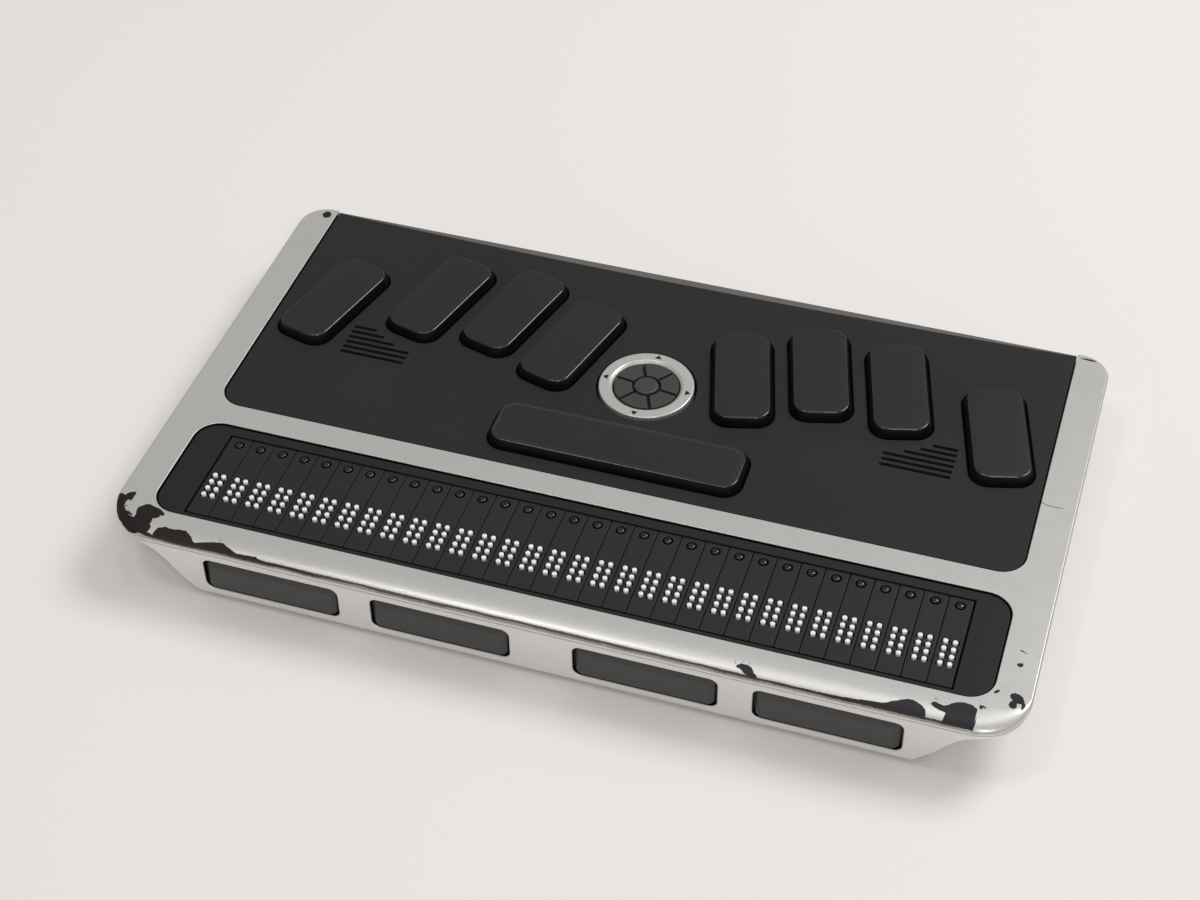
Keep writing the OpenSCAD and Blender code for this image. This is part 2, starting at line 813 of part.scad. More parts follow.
module piezo_reeds() {
    color([0.7, 0.6, 0.35])
        for (x = CELLS, n = [0:7])
            translate([x + DOT_COLUMN[n] * (reed_w + cap_gap) / 2 - reed_w / 2, dot_y(n) - reed_tip, reed_z(n)])
                cube([reed_w, backplane_y - dot_y(n) + reed_tip, reed_t]);
}

module display_board() {
    color([0.1, 0.4, 0.25])
        span([-cells_w / 2, backplane_y, floor_z], [cells_w / 2, backplane_y + board_t, board_z - fit_gap]);
}

// Sockets at the rear

module usb_sockets() {
    color([0.6, 0.6, 0.62])
        for (x = usb_x)
            translate([x - usb_w / 2, shell_rear - port_depth, pcb_z + pcb_t])
                difference() {
                    cube([usb_w, port_depth, usb_h]);
                    translate([usb_wall, 3, usb_wall]) cube([usb_w - 2 * usb_wall, port_depth, usb_h - 2 * usb_wall]);
                }
}

module audio_jack() {
    color([0.12, 0.12, 0.12])
        difference() {
            translate([jack_x - jack_body / 2, shell_rear - port_depth, pcb_z + pcb_t])
                cube([jack_body, port_depth, jack_body]);
            translate([jack_x, shell_rear + cut, pcb_z + pcb_t + jack_body / 2])
                rotate([90, 0, 0]) cylinder(r = jack_r, h = port_depth - 2 + cut);
        }
}

module power_inlet() {
    mid_z = pcb_z + pcb_t + inlet_body / 2;
    color([0.12, 0.12, 0.12]) {
        difference() {
            translate([inlet_x - inlet_body / 2, shell_rear - port_depth, pcb_z + pcb_t])
                cube([inlet_body, port_depth, inlet_body]);
            translate([inlet_x, shell_rear + cut, mid_z])
                rotate([90, 0, 0]) cylinder(r = inlet_r, h = port_depth - 2 + cut);
        }
        translate([inlet_x, shell_rear - 1, mid_z]) rotate([90, 0, 0]) cylinder(r = inlet_r / 3, h = port_depth - 2);
    }
}

module card_slot() {
    color([0.6, 0.6, 0.62])
        translate([card_x - card_w / 2, shell_rear - port_depth, pcb_z + pcb_t])
            difference() {
                cube([card_w, port_depth, card_h]);
                translate([1, 2, (card_h - card_mouth) / 2]) cube([card_w - 2, port_depth, card_mouth]);
            }
}

module power_switch() {
    inner = shell_rear - wall - slide_gap;
    color([0.16, 0.16, 0.17]) {
        span(
            [switch_x - switch_w / 2, inner - thin, switch_z],
            [switch_x + switch_w / 2, shell_rear, switch_z + switch_h]
        );
        span(
            [switch_x - switch_w / 2 - switch_rim, inner - 1, switch_z - switch_rim],
            [switch_x + switch_w / 2 + switch_rim, inner, switch_z + switch_h + switch_rim]
        );
    }
}

// Dial

module dial_post() {
    color([0.25, 0.25, 0.26])
        translate([0, dial_y, board_top]) {
            difference() {
                union() {
                    cylinder(r = post_out + 2, h = base_t);
                    cylinder(r = post_out, h = wheel_top - wheel_cap - slide_gap - board_top);
                    translate([-pivot_out, -1.2, 0]) cube([2 * pivot_out, 2.4, base_t]);
                    pivot_pair(rocker_z - board_top, base_t);
                }
                translate([0, 0, base_t]) cylinder(r = select_r + slide_gap, h = top_z);
            }
        }
}

// Two pivot pins on the X axis at height z, on pedestals that start at height foot
module pivot_pair(z, foot) {
    for (sx = SIDES) {
        translate([sx * (pivot_in + pivot_out) / 2, 0, z])
            rotate([0, 90, 0]) cylinder(r = pivot_r, h = pivot_out - pivot_in, center = true);
        translate([sx * (pivot_in + pivot_out) / 2, 0, (z + foot) / 2])
            cube([pivot_out - pivot_in, 2 * pivot_r - 0.2, z - foot], center = true);
    }
}

// Grooves along the X axis at height z for a pivot pair
module pivot_grooves(z) {
    for (sx = SIDES)
        translate([sx * (pivot_in + pivot_out) / 2, 0, z])
            rotate([0, 90, 0])
                cylinder(r = pivot_r + pivot_gap, h = pivot_out - pivot_in + 2 * pivot_gap, center = true);
}

module dial_domes() {
    color([0.3, 0.3, 0.32])
        translate([0, dial_y, board_top]) {
            for (a = [45:90:315])
                rotate([0, 0, a]) translate([(rocker_in + rocker_out) / 2, 0, 0])
                    dome(2, rocker_z - board_top - dome_gap);
            translate([0, 0, base_t]) dome(2, select_travel + 0.4);
        }
}

module rocker_plate() {
    color([0.2, 0.2, 0.21])
        translate([0, dial_y, 0]) {
            difference() {
                translate([0, 0, rocker_z]) cylinder(r = rocker_out, h = rocker_t);
                translate([0, 0, rocker_z - cut]) cylinder(r = rocker_in, h = rocker_t + 2 * cut);
                pivot_grooves(rocker_z);
            }
            rotate([0, 0, 90]) pivot_pair(ring_z, rocker_z + rocker_t - thin);
        }
}

module arrow_ring() {
    arrow = 1.1;
    color([0.78, 0.78, 0.77])
        translate([0, dial_y, 0])
            difference() {
                translate([0, 0, ring_z]) cylinder(r = ring_r, h = ring_top - ring_z);
                translate([0, 0, ring_z - cut]) cylinder(r = ring_in, h = ring_top - ring_z + 2 * cut);
                translate([0, 0, ring_top - 0.6]) cylinder(r1 = ring_in, r2 = ring_in + 0.8, h = 0.6 + thin);
                rotate([0, 0, 90]) pivot_grooves(ring_z);
                for (a = [0:90:270])
                    rotate([0, 0, a]) translate([(ring_r + ring_in) / 2 + 0.4, 0, ring_top - 0.2])
                        linear_extrude(cut)
                            polygon([[arrow, 0], [-arrow / 2, arrow * 0.8], [-arrow / 2, -arrow * 0.8]]);
            }
}

module scroll_wheel() {
    color([0.14, 0.14, 0.145])
        translate([0, dial_y, 0])
            difference() {
                translate([0, 0, wheel_z]) cylinder(r = wheel_r, h = wheel_top - wheel_z);
                translate([0, 0, wheel_z - cut])
                    cylinder(r = post_out + turn_gap, h = wheel_top - wheel_cap - wheel_z + cut);
                translate([0, 0, wheel_z]) cylinder(r = wheel_hole, h = wheel_top - wheel_z + cut);
                for (i = [0:groove_n - 1])
                    rotate([0, 0, groove_turn + i * 360 / groove_n])
                        translate([wheel_hole + 0.4, -groove_w / 2, wheel_top - groove_d])
                            cube([wheel_r - wheel_hole - 1.2, groove_w, groove_d + cut]);
            }
}

module select_button() {
    low = board_top + base_t + select_travel + 0.5;
    color([0.13, 0.13, 0.135])
        translate([0, dial_y, low]) {
            cylinder(r = select_r, h = top_z - low);
            translate([0, 0, top_z - low - thin]) cylinder(r1 = select_r, r2 = select_r - 0.5, h = 0.25);
        }
}

// Keys

module space_bar() {
    color([0.14, 0.135, 0.14]) translate([0, space_y, 0]) key_body(space_w, space_d, space_posts);
}

module dot_key(n) {
    color([0.14, 0.135, 0.14]) at_key(n) key_body(key_w, key_l, key_posts);
}

// Thumb key n, counted from the left, with a bevelled face and a flange behind the front wall
module thumb_key(n) {
    x = [-thumb_x[1], -thumb_x[0], thumb_x[0], thumb_x[1]][n - 1];
    face = shell_front - thumb_proud;
    color([0.2, 0.2, 0.2])
        translate([x - thumb_w / 2, 0, thumb_z]) {
            intersection() {
                rotate([90, 0, 90])
                    linear_extrude(thumb_w)
                        polygon([
                            [face, -thin], [thumb_back + thin, -thin], [thumb_back + thin, thumb_h + thin],
                            [face + thumb_proud, thumb_h + thin], [face, thumb_h - thumb_bevel]
                        ]);
                translate([thumb_w / 2, thumb_back + cut, thumb_h / 2])
                    rotate([90, 0, 0])
                        linear_extrude(thumb_back - face + 2 * cut) rounded(thumb_w, thumb_h, thumb_r);
            }
            span(
                [-thumb_flange, thumb_back, -2 * thumb_gap],
                [thumb_w + thumb_flange, thumb_back + thumb_flange_t, thumb_h + 1.2]
            );
        }
}

// Braille pins of dot n, one in each cell, standing on their reeds
module pins_dot(n) {
    low = reed_z(n - 1) + reed_t;
    color([0.95, 0.94, 0.9])
        for (x = CELLS)
            translate([x + dot_x(n - 1), dot_y(n - 1), low]) {
                cylinder(r = pin_r, h = cap_z + dot_h - pin_r / 2 - low, $fn = 16);
                translate([0, 0, cap_z + dot_h - pin_r / 2 - low - thin])
                    cylinder(r1 = pin_r, r2 = pin_r * 0.6, h = pin_r / 2 + thin, $fn = 16);
            }
}

// Routing buttons of one quarter of the cells, each with a flange that the cell frame holds
module routing_buttons(group) {
    per = ceil(cell_n / 4);
    low = board_top + routing_travel + cap_gap;
    color([0.13, 0.13, 0.135])
        for (i = [(group - 1) * per:min(group * per, cell_n) - 1])
            translate([CELLS[i], routing_y, low]) {
                cylinder(r = routing_r + routing_flange, h = cell_top - cell_plate - slide_gap - low, $fn = 24);
                cylinder(r = routing_r, h = cap_z + 0.1 - low, $fn = 24);
                translate([0, 0, cap_z + 0.1 - low - thin])
                    cylinder(r1 = routing_r, r2 = routing_r * 0.6, h = 0.3, $fn = 24);
            }
}

top_frame();
lower_shell();
keyboard_panel();
display_panel();
rear_cover();
battery_cover();
rubber_feet();
case_screws();
battery_pack();
main_board();
radio_board();
keyboard_board();
key_domes();
thumb_key_board();
thumb_domes();
speakers();
cell_caps();
cell_frames();
piezo_reeds();
display_board();
usb_sockets();
audio_jack();
power_inlet();
card_slot();
power_switch();
dial_post();
dial_domes();
rocker_plate();
arrow_ring();
scroll_wheel();
select_button();
space_bar();
for (n = [1:8]) dot_key(n);
for (n = [1:4]) thumb_key(n);
for (n = [1:8]) pins_dot(n);
for (n = [1:4]) routing_buttons(n);
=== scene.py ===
"""Looks of the braille notetaker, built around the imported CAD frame. Sizes are in millimetres until a mesh is made."""
import math

import bmesh
import bpy
from mathutils import Matrix, Vector


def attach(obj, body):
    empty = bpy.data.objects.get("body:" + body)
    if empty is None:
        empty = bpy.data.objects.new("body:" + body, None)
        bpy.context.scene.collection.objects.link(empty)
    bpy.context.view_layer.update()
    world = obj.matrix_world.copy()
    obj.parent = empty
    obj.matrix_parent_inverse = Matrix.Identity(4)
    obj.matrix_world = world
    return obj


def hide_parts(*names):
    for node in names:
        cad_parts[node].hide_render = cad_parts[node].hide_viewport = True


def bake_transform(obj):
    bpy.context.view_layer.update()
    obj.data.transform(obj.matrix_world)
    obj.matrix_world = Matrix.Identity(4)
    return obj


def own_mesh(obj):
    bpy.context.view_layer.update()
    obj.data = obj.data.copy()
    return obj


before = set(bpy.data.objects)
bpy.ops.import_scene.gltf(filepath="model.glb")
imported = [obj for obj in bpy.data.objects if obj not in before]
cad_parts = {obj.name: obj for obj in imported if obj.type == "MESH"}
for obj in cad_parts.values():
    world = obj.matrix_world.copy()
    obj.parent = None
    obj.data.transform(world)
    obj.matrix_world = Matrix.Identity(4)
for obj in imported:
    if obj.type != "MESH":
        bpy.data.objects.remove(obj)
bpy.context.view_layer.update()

MM = 0.001
CASE_W, CASE_D, TOP_Z = 244.0, 141.0, 20.0
HALF_W, HALF_D = CASE_W / 2, CASE_D / 2
SEAM_Z, PANEL_Z, BORDER_Z, CAP_Z = 17.4, 19.7, 19.6, 19.2
FRONT_R, REAR_R, OPENING_R = 13.0, 8.0, 7.0
OPEN_W = 224.8
DISPLAY_FRONT, DISPLAY_D = -61.4, 35.3
DISPLAY_Y = DISPLAY_FRONT + DISPLAY_D / 2
KEYBOARD_FRONT = -18.5
FIT, DARK_GAP = 0.2, 0.2
REAR_BOW = 2.0
SHELL_REAR = 70.0
CELLS, CELL_PITCH, DOT_PITCH = 32, 6.4, 2.45
CAP_FRONT, CAP_L = -59.2, 29.5
DOTS_Y, ROUTING_Y = -48.5, -32.2
FIRST_CELL = -(CELLS - 1) / 2 * CELL_PITCH
DOT_COLUMN = (-1, -1, -1, 1, 1, 1, -1, 1)
DOT_ROW = (0, 1, 2, 0, 1, 2, 3, 3)
KEY_SEATS = {1: (-25, 31.9, -15), 2: (-45.2, 40.3, -15), 3: (-67.6, 40.1, -15), 7: (-97.1, 30.1, -15),
             4: (25, 31.9, 15), 5: (45.2, 40.3, 15), 6: (67.6, 40.1, 15), 8: (97.1, 30.1, 15)}
KEY_W, KEY_L, KEY_R, KEY_TOP, KEY_GAP = 17.2, 36.6, 5.0, 22.4, 0.4
SPACE_W, SPACE_D, SPACE_Y = 71.2, 17.5, -4.35
DIAL_Y = 22.3
DIAL_HOLE_R, WHEEL_R, DIAL_DOME_R = 14.1, 9.1, 11.55
BOARD_Z, THUMB_BOARD_Y = 13.6, -64.6
PIN_HOLE_R, ROUTING_HOLE_R, CAP_T = 1.09, 1.42, 1.6
REED_Z, REED_STEP = 5.6, 1.75
SLOT_LENGTHS = (7, 10, 14, 19.3, 19.3, 19.3)
SLOT_OUTER, SLOT_REAR, SLOT_STEP, SLOT_H = 87.8, 22.3, 2.16, 0.95
THUMB_X = {1: -74.45, 2: -27.45, 3: 27.45, 4: 74.45}
THUMB_W, THUMB_H, THUMB_R, THUMB_GAP, THUMB_Z = 37.3, 9.7, 1.8, 0.35, 8.95
THUMB_LEAN = 0.085
HULL_TOP, CREASE_Z, HULL_LOW, HULL_LEAN = 15.5, 11.0, 2.2, 16.0
FOOT_X, FOOT_Y = 85.0, 54.5
SCREWS = [(96.8, -65.2), (100.0, 65.9)]

# Shader expressions


class Socket:
    """A shader socket that takes part in Python expressions."""

    def __init__(self, finish, link):
        self.finish, self.link = finish, link

    def math(self, operation, *others):
        return self.finish.add("ShaderNodeMath", {"operation": operation}, dict(enumerate((self, *others))))

    def __add__(self, other):
        return self.math("ADD", other)

    def __sub__(self, other):
        return self.math("SUBTRACT", other)

    def __mul__(self, other):
        return self.math("MULTIPLY", other)

    def __truediv__(self, other):
        return self.math("DIVIDE", other)

    def __rsub__(self, other):
        return self.finish.add("ShaderNodeMath", {"operation": "SUBTRACT"}, {0: other, 1: self})

    __radd__, __rmul__ = __add__, __mul__

    def low(self, other):
        return self.math("MINIMUM", other)

    def high(self, other):
        return self.math("MAXIMUM", other)

    def step(self, start, end):
        """0 before start and 1 after end, eased between them."""
        return self.finish.add("ShaderNodeMapRange", {"interpolation_type": "SMOOTHSTEP"},
                               {"Value": self, "From Min": start, "From Max": end})


class Finish:
    """A material with one Principled shader, whose other nodes come from add()."""

    def __init__(self, name, **sockets):
        self.material = bpy.data.materials.new(name)
        self.material.use_nodes = True
        self.nodes, self.links = self.material.node_tree.nodes, self.material.node_tree.links
        self.shader = self.nodes["Principled BSDF"]
        self.place = Socket(self, self.nodes.new("ShaderNodeTexCoord").outputs["Object"])
        self.set(**sockets)

    def plug(self, socket, value):
        if isinstance(value, Socket):
            self.links.new(value.link, socket)
        elif socket.type == "RGBA" and len(value) == 3:
            socket.default_value = (*value, 1)
        else:
            socket.default_value = value

    def add(self, kind, settings, sockets, out=0):
        """A node of the given kind: its settings are set first, then its sockets' values or links."""
        node = self.nodes.new(kind)
        for name, value in settings.items():
            if name == "stops":
                ramp = node.color_ramp.elements
                while len(ramp) < len(value):
                    ramp.new(0.5)
                for stop, (at, colour) in zip(ramp, value):
                    stop.position, stop.color = at, (*colour, 1)
            elif name == "bends":
                curve = node.mapping.curves[0].points
                while len(curve) < len(value):
                    curve.new(0.5, 0.5)
                for point, at in zip(curve, value):
                    point.location, point.handle_type = at, "VECTOR"
                node.mapping.update()
            else:
                setattr(node, name, value)
        for name, value in sockets.items():
            self.plug(node.inputs[name], value)
        return Socket(self, node.outputs[out])

    def set(self, **sockets):
        for name, value in sockets.items():
            self.plug(self.shader.inputs[name.replace("_", " ").title()], value)

    def noise(self, scale, detail=2.0, rough=0.5, at=None, out="Fac"):
        return self.add("ShaderNodeTexNoise", {}, {"Vector": at or self.place, "Scale": scale, "Detail": detail,
                                                    "Roughness": rough}, out)

    def mix(self, share, first, second):
        """Colour mix of two colours."""
        return self.add("ShaderNodeMix", {"data_type": "RGBA"}, {0: share, 6: first, 7: second}, 2)

    def vector(self, operation, *sockets, out=0):
        return self.add("ShaderNodeVectorMath", {"operation": operation}, dict(enumerate(sockets)), out)

    def bump(self, height, distance, strength=1.0):
        self.set(normal=self.add("ShaderNodeBump", {}, {"Height": height, "Distance": distance,
                                                        "Strength": strength}))


def moulded(name, colour, spread=0.12, roughness=0.5, grain=900.0, depth=0.00002, rough_spread=0.08,
            shine=0.5):
    """Moulded plastic or rubber: faint cloudy colour, uneven sheen and a fine grain."""
    finish = Finish(name)
    finish.shader.inputs["Specular IOR Level"].default_value = shine
    cloud = finish.noise(35.0, 3.0)
    dark, pale = [tuple(c * k for c in colour) for k in (1 - spread, 1 + spread)]
    finish.set(base_color=finish.mix(cloud, dark, pale),
               roughness=finish.noise(120.0, 2.0) * rough_spread + (roughness - rough_spread / 2))
    finish.bump(finish.noise(grain * 3, 2.0, 0.6), depth)
    return finish


def white_pin():
    """Milky white plastic that lets a little light through."""
    finish = moulded("white_pin", (0.95, 0.93, 0.89), 0.03, 0.35, 500.0, 0.000002)
    for name, value in (("Subsurface Weight", 0.8), ("Subsurface Scale", 0.0012),
                        ("Subsurface Radius", (1.0, 0.9, 0.8))):
        finish.shader.inputs[name].default_value = value
    return finish


def bare_metal(name, colour, roughness=0.3):
    """Plain metal with faint drawing lines."""
    finish = Finish(name, metallic=1.0)
    lines = finish.noise(1.0, 3.0, at=finish.vector("MULTIPLY", finish.place, (400.0, 4000.0, 4000.0)))
    finish.set(base_color=finish.mix(lines, tuple(c * 0.85 for c in colour), colour),
               roughness=lines * 0.12 + (roughness - 0.06))
    return finish


# Wear of the paint on each half of the frame, in millimetres from the middle of the braille dots: the upper border of
# the bare front edge, then chips, paint left inside them and scrapes as centre, half sizes and turn
LEFT_WEAR = {
    "border": [(-107.6, -24), (-106.4, -24), (-106.2, -20.4), (-105.8, -19.2), (-105.0, -18.9), (-104.0, -18.3),
               (-102.2, -18.6), (-100.2, -18.2), (-98.2, -18.0), (-97.6, -18.5), (-96.6, -19.2), (-95.6, -20.3),
               (-94.8, -21.3), (-94.2, -21.4), (-92.0, -20.5), (-90.0, -19.9), (-88.2, -19.4), (-87.0, -19.3),
               (-86.0, -20.0), (-84.2, -20.8), (-82.5, -21.8), (-80.0, -21.7), (-77.0, -21.4), (-76.2, -21.9),
               (-74.0, -22.3), (-66.0, -22.4), (-58.0, -22.9), (-56.0, -24)],
    "chips": [(-118.0, -10.2, 1.5, 1.0, 38), (-117.9, -11.2, 1.2, 1.5, 0), (-119.9, -13.4, 1.9, 3.0, 12),
              (-118.4, -16.6, 1.7, 2.5, 32), (-116.4, -18.4, 3.0, 1.6, -42), (-115.6, -16.5, 1.4, 0.45, -14),
              (-111.6, -14.2, 1.9, 2.2, 0), (-108.9, -13.6, 3.0, 0.9, -19), (-109.4, -14.8, 2.4, 1.5, -20),
              (-111.0, -17.5, 2.7, 3.4, 0), (-113.4, -20.2, 4.0, 2.2, -38), (-110.2, -20.2, 2.5, 2.5, -20),
              (-108.4, -22.2, 2.6, 0.7, -13), (-113.3, -15.2, 0.5, 2.0, 6), (-114.7, 115.9, 1.3, 1.6, 0)],
    "left": [(-107.2, -20.3, 0.55, 1.7, 5), (-117.2, -13.6, 0.75, 1.5, 12), (-115.9, -15.2, 0.7, 0.8, 0)],
    "scrapes": [(-88.2, -18.7, 0.5, 0.25, 60), (-117.5, -14.4, 0.8, 0.3, 30)],
}
RIGHT_WEAR = {
    "border": [(60.0, -24), (62.0, -22.75), (70.0, -22.35), (78.0, -22.1), (82.0, -21.7), (84.0, -21.3), (88.0, -21.0),
               (89.2, -20.4), (90.0, -19.7), (91.5, -19.0), (92.5, -18.3), (93.6, -17.8), (94.6, -17.75), (96.0, -18.2),
               (97.5, -19.1), (98.4, -20.0), (98.8, -21.4), (99.1, -24), (103.0, -24), (103.2, -16.8), (104.0, -16.0),
               (105.4, -15.2), (107.0, -14.9), (109.0, -15.2), (110.2, -16.2), (110.6, -17.4), (110.35, -19.0),
               (110.4, -22.4), (110.6, -24), (112.0, -24)],
    "chips": [(54.0, -20.6, 2.4, 1.3, -34), (55.2, -21.8, 1.9, 0.8, -12), (52.2, -20.0, 0.9, 0.6, 20),
              (101.6, -18.1, 2.4, 0.9, -14), (100.2, -17.6, 0.9, 0.8, 0), (103.2, -18.2, 1.4, 1.2, -30),
              (118.7, -10.0, 2.0, 1.3, -32), (118.0, -12.2, 0.95, 1.3, 0), (117.9, -9.4, 1.0, 1.0, 0),
              (120.4, -12.0, 0.45, 1.2, 0), (113.6, -9.2, 0.95, 0.42, 52), (117.5, 0.8, 0.7, 0.7, 0),
              (111.2, -14.8, 0.9, 0.3, -10), (110.9, -15.3, 0.4, 0.5, 0), (116.0, 117.2, 2.2, 0.35, 0)],
    "left": [(101.2, -22.0, 1.6, 1.4, 0)],
    "scrapes": [(117.6, 5.3, 1.3, 0.3, -20), (50.6, -19.0, 0.9, 0.12, -62), (52.4, -18.6, 0.8, 0.1, 75),
                (54.0, -18.3, 0.5, 0.1, -75), (100.2, -15.9, 0.9, 0.16, -35), (112.0, -15.1, 0.5, 0.2, 30)],
}
GRID_X, GRID_Y = -0.5, -48.5
BORDER_LOW, BORDER_SPAN = -24.0, 12.0
# Dark and pale tones of the paint, then the colour of the painted shade on the frame's outer end walls.
PAINT_DARK, PAINT_PALE, PAINT_WALL_SHADE = (0.56, 0.55, 0.538), (0.655, 0.644, 0.63), (0.2, 0.197, 0.19)
# Bare plastic on the left and right, whose colours also paint the shade along the frame's lower edge, and the brown of
# the worn seam.
BARE_LEFT_AND_SHADE, BARE_RIGHT_AND_SHADE, SEAM_BROWN = (0.012, 0.0095, 0.0088), (0.015, 0.015, 0.0185), (0.04, 0.023, 0.015)


def silver_paint(name, wear=None, tone=1.0, metallic=0.55, flakes=0.03):
    """Satin silver paint over black plastic, with its chips, scrapes and scratches where it is worn, a painted shade
    along the frame's lower edge and a darker painted shade on its outer end walls.
    """
    finish = Finish(name)
    cloud = finish.noise(22.0, 3.0)
    flake = finish.noise(5200.0, 1.0)
    grain = finish.noise(1700.0, 2.0)
    shades = [tuple(c * tone for c in shade) for shade in (PAINT_DARK, PAINT_PALE)]
    paint = finish.mix(cloud * 0.4 + flake * 0.2 + (grain - 0.3), *shades)
    rough = finish.noise(160.0, 3.0) * 0.08 + flake * 0.06 + 0.25
    height = (flake + grain * 4.0) * flakes
    if not wear:
        finish.set(base_color=paint, metallic=metallic, roughness=rough)
        finish.bump(height, 0.0001)
        return finish
    finish.shader.inputs["Specular IOR Level"].default_value = 0.25
    place = finish.vector("SCALE", finish.place)
    place.link.node.inputs["Scale"].default_value = 1 / MM
    parts = [finish.add("ShaderNodeSeparateXYZ", {}, {0: place}, i) for i in range(3)]
    drop = TOP_Z - parts[2]
    flat = finish.add("ShaderNodeCombineXYZ", {}, {0: parts[0] + drop * 0.325 - GRID_X,
                                                   1: parts[1] - drop * 0.97 - GRID_Y})
    coarse = finish.noise(0.45, 2.0, at=flat, out="Color")
    fine = finish.noise(2.2, 2.0, at=flat, out="Color")

    def shift(noise, amount):
        """A noise colour as a sideways shift."""
        return finish.vector("MULTIPLY", finish.vector("SUBTRACT", noise, (0.5,) * 3), (amount, amount, 0))

    ragged = finish.vector("ADD", flat, finish.vector("ADD", shift(coarse, 0.7), shift(fine, 0.55)))

    def reach(spots, at):
        """Distance to the nearest spot, where 1 is its border."""
        nearest = None
        for x, y, half_x, half_y, turn in spots:
            local = finish.add("ShaderNodeMapping", {"vector_type": "TEXTURE"}, {
                "Vector": at, "Location": (x, y, 0), "Rotation": (0, 0, math.radians(turn)),
                "Scale": (half_x, half_y, 1)})
            length = finish.vector("LENGTH", local, out="Value")
            nearest = length if nearest is None else nearest.low(length)
        return nearest

    def border(line):
        """Share of bare plastic under a traced border."""
        (first, _), (last, _) = line[0], line[-1]
        bends = [((x - first) / (last - first), (y - BORDER_LOW) / BORDER_SPAN) for x, y in line]
        share = (u - first) / (last - first)
        level = finish.add("ShaderNodeFloatCurve", {"bends": bends}, {"Value": share.high(0.0).low(1.0)})
        return (level * BORDER_SPAN + BORDER_LOW - v).step(-0.06, 0.06)

    uneven = finish.vector("ADD", flat, shift(fine, 0.5))
    u, v = [finish.add("ShaderNodeSeparateXYZ", {}, {0: uneven}, i) for i in (0, 1)]
    sway = finish.noise(0.1, 2.0, at=flat)
    trail = v + sway * 0.9 + 22.3
    left = 1 - u.step(-66.0, -46.0)
    thick = left * 0.14 + sway * 0.3 + 0.31
    seam = 1 - (trail.math("ABSOLUTE") - thick).step(-0.1, 0.12)
    seam = seam * (left * 0.06 + u.step(30.0, 60.0) * 0.06 + 0.92)
    under = (1 - (trail + 0.78).math("ABSOLUTE").step(0.1, 0.34)) * 0.6
    seam = seam.high(under) * (1 - u.math("ABSOLUTE").step(104.0, 112.0))
    chips = (1 - reach(wear["chips"], ragged).step(0.97, 1.03)).high(border(wear["border"]))
    chips = chips * reach(wear["left"], ragged).step(0.8, 1.1)
    chips = chips * v.step(-23.3, -23.1).high(u.math("ABSOLUTE").step(110.0, 112.0))
    scrapes = (1 - reach(wear["scrapes"], ragged).step(0.6, 1.1)) * 0.75
    away = finish.vector("LENGTH", finish.vector("SUBTRACT", flat, (116.4, 66.0, 0)), out="Value")
    hair = (1 - (away - 9.0).math("ABSOLUTE").step(0.07, 0.2)) * (1 - parts[1].step(10.4, 10.6))
    hair = hair * (1 - u.step(118.4, 119.2)) * 0.85
    # Painted shade: a dark band along the frame's lower edge, just above the seam with the hull, drawn in the bare
    # plastic colour.
    lower_edge_shade = (1 - parts[2].step(17.55, 17.85)) * 0.6
    bare_and_shade = chips.high(seam * 0.97).high(scrapes).high(hair).high(lower_edge_shade)
    # Painted shade: the frame's outer end walls are darkened.
    paint = finish.mix(parts[0].math("ABSOLUTE").step(121.4, 121.9) * 0.45, paint, PAINT_WALL_SHADE)
    # The bare plastic colour stands for the worn spots and also for the painted shade along the lower edge.
    bare_and_shade_colour = finish.mix(seam, finish.mix(u.step(-20.0, 20.0), BARE_LEFT_AND_SHADE, BARE_RIGHT_AND_SHADE), SEAM_BROWN)
    finish.set(base_color=finish.mix(bare_and_shade, paint, bare_and_shade_colour), metallic=(1 - bare_and_shade) * metallic,
               roughness=rough * (1 - bare_and_shade) + bare_and_shade * 0.38)
    finish.bump(height - bare_and_shade * 0.6, 0.0001)
    return finish


SILVER_WORN = [silver_paint("silver_paint_" + side, wear).material
               for side, wear in (("left", LEFT_WEAR), ("right", RIGHT_WEAR))]
# The hull's paint is the frame's silver paint with a lighter tone: painted light that makes up for the light its front
# faces get.
SILVER_HULL_LIT = silver_paint("silver_paint_hull_lit", tone=1.34, metallic=0.38).material
SILVER = silver_paint("silver_paint_ring", flakes=0.0).material
BLACK_PANEL = moulded("black_panel", (0.0222, 0.0208, 0.0232), 0.10, 0.55, 1400.0, 0.000012, shine=0.15).material
BLACK_BORDER = moulded("black_border", (0.0155, 0.0145, 0.016), 0.10, 0.50, 1400.0, 0.000008, shine=0.2).material
BLACK_CAP = moulded("black_cap", (0.020, 0.020, 0.0215), 0.12, 0.50, 1200.0, 0.00001, shine=0.2).material
BLACK_KEY = moulded("black_key", (0.0225, 0.0209, 0.0236), 0.10, 0.42, 1600.0, 0.000006, shine=0.2).material
# The key walls' finish is a much darker copy of the key black: painted shade on the walls.
KEY_WALL_SHADE = moulded("black_key_wall_shade", (0.003, 0.003, 0.0033), 0.10, 0.30, 900.0, 0.000004, 0.04, 0.22).material
KEY_EDGE = moulded("black_key_edge", (0.012, 0.0115, 0.0125), 0.10, 0.16, 900.0, 0.0, 0.04, 0.75).material
BLACK_GLOSS = moulded("black_gloss", (0.006, 0.006, 0.0065), 0.10, 0.15, 900.0, 0.0, 0.04).material
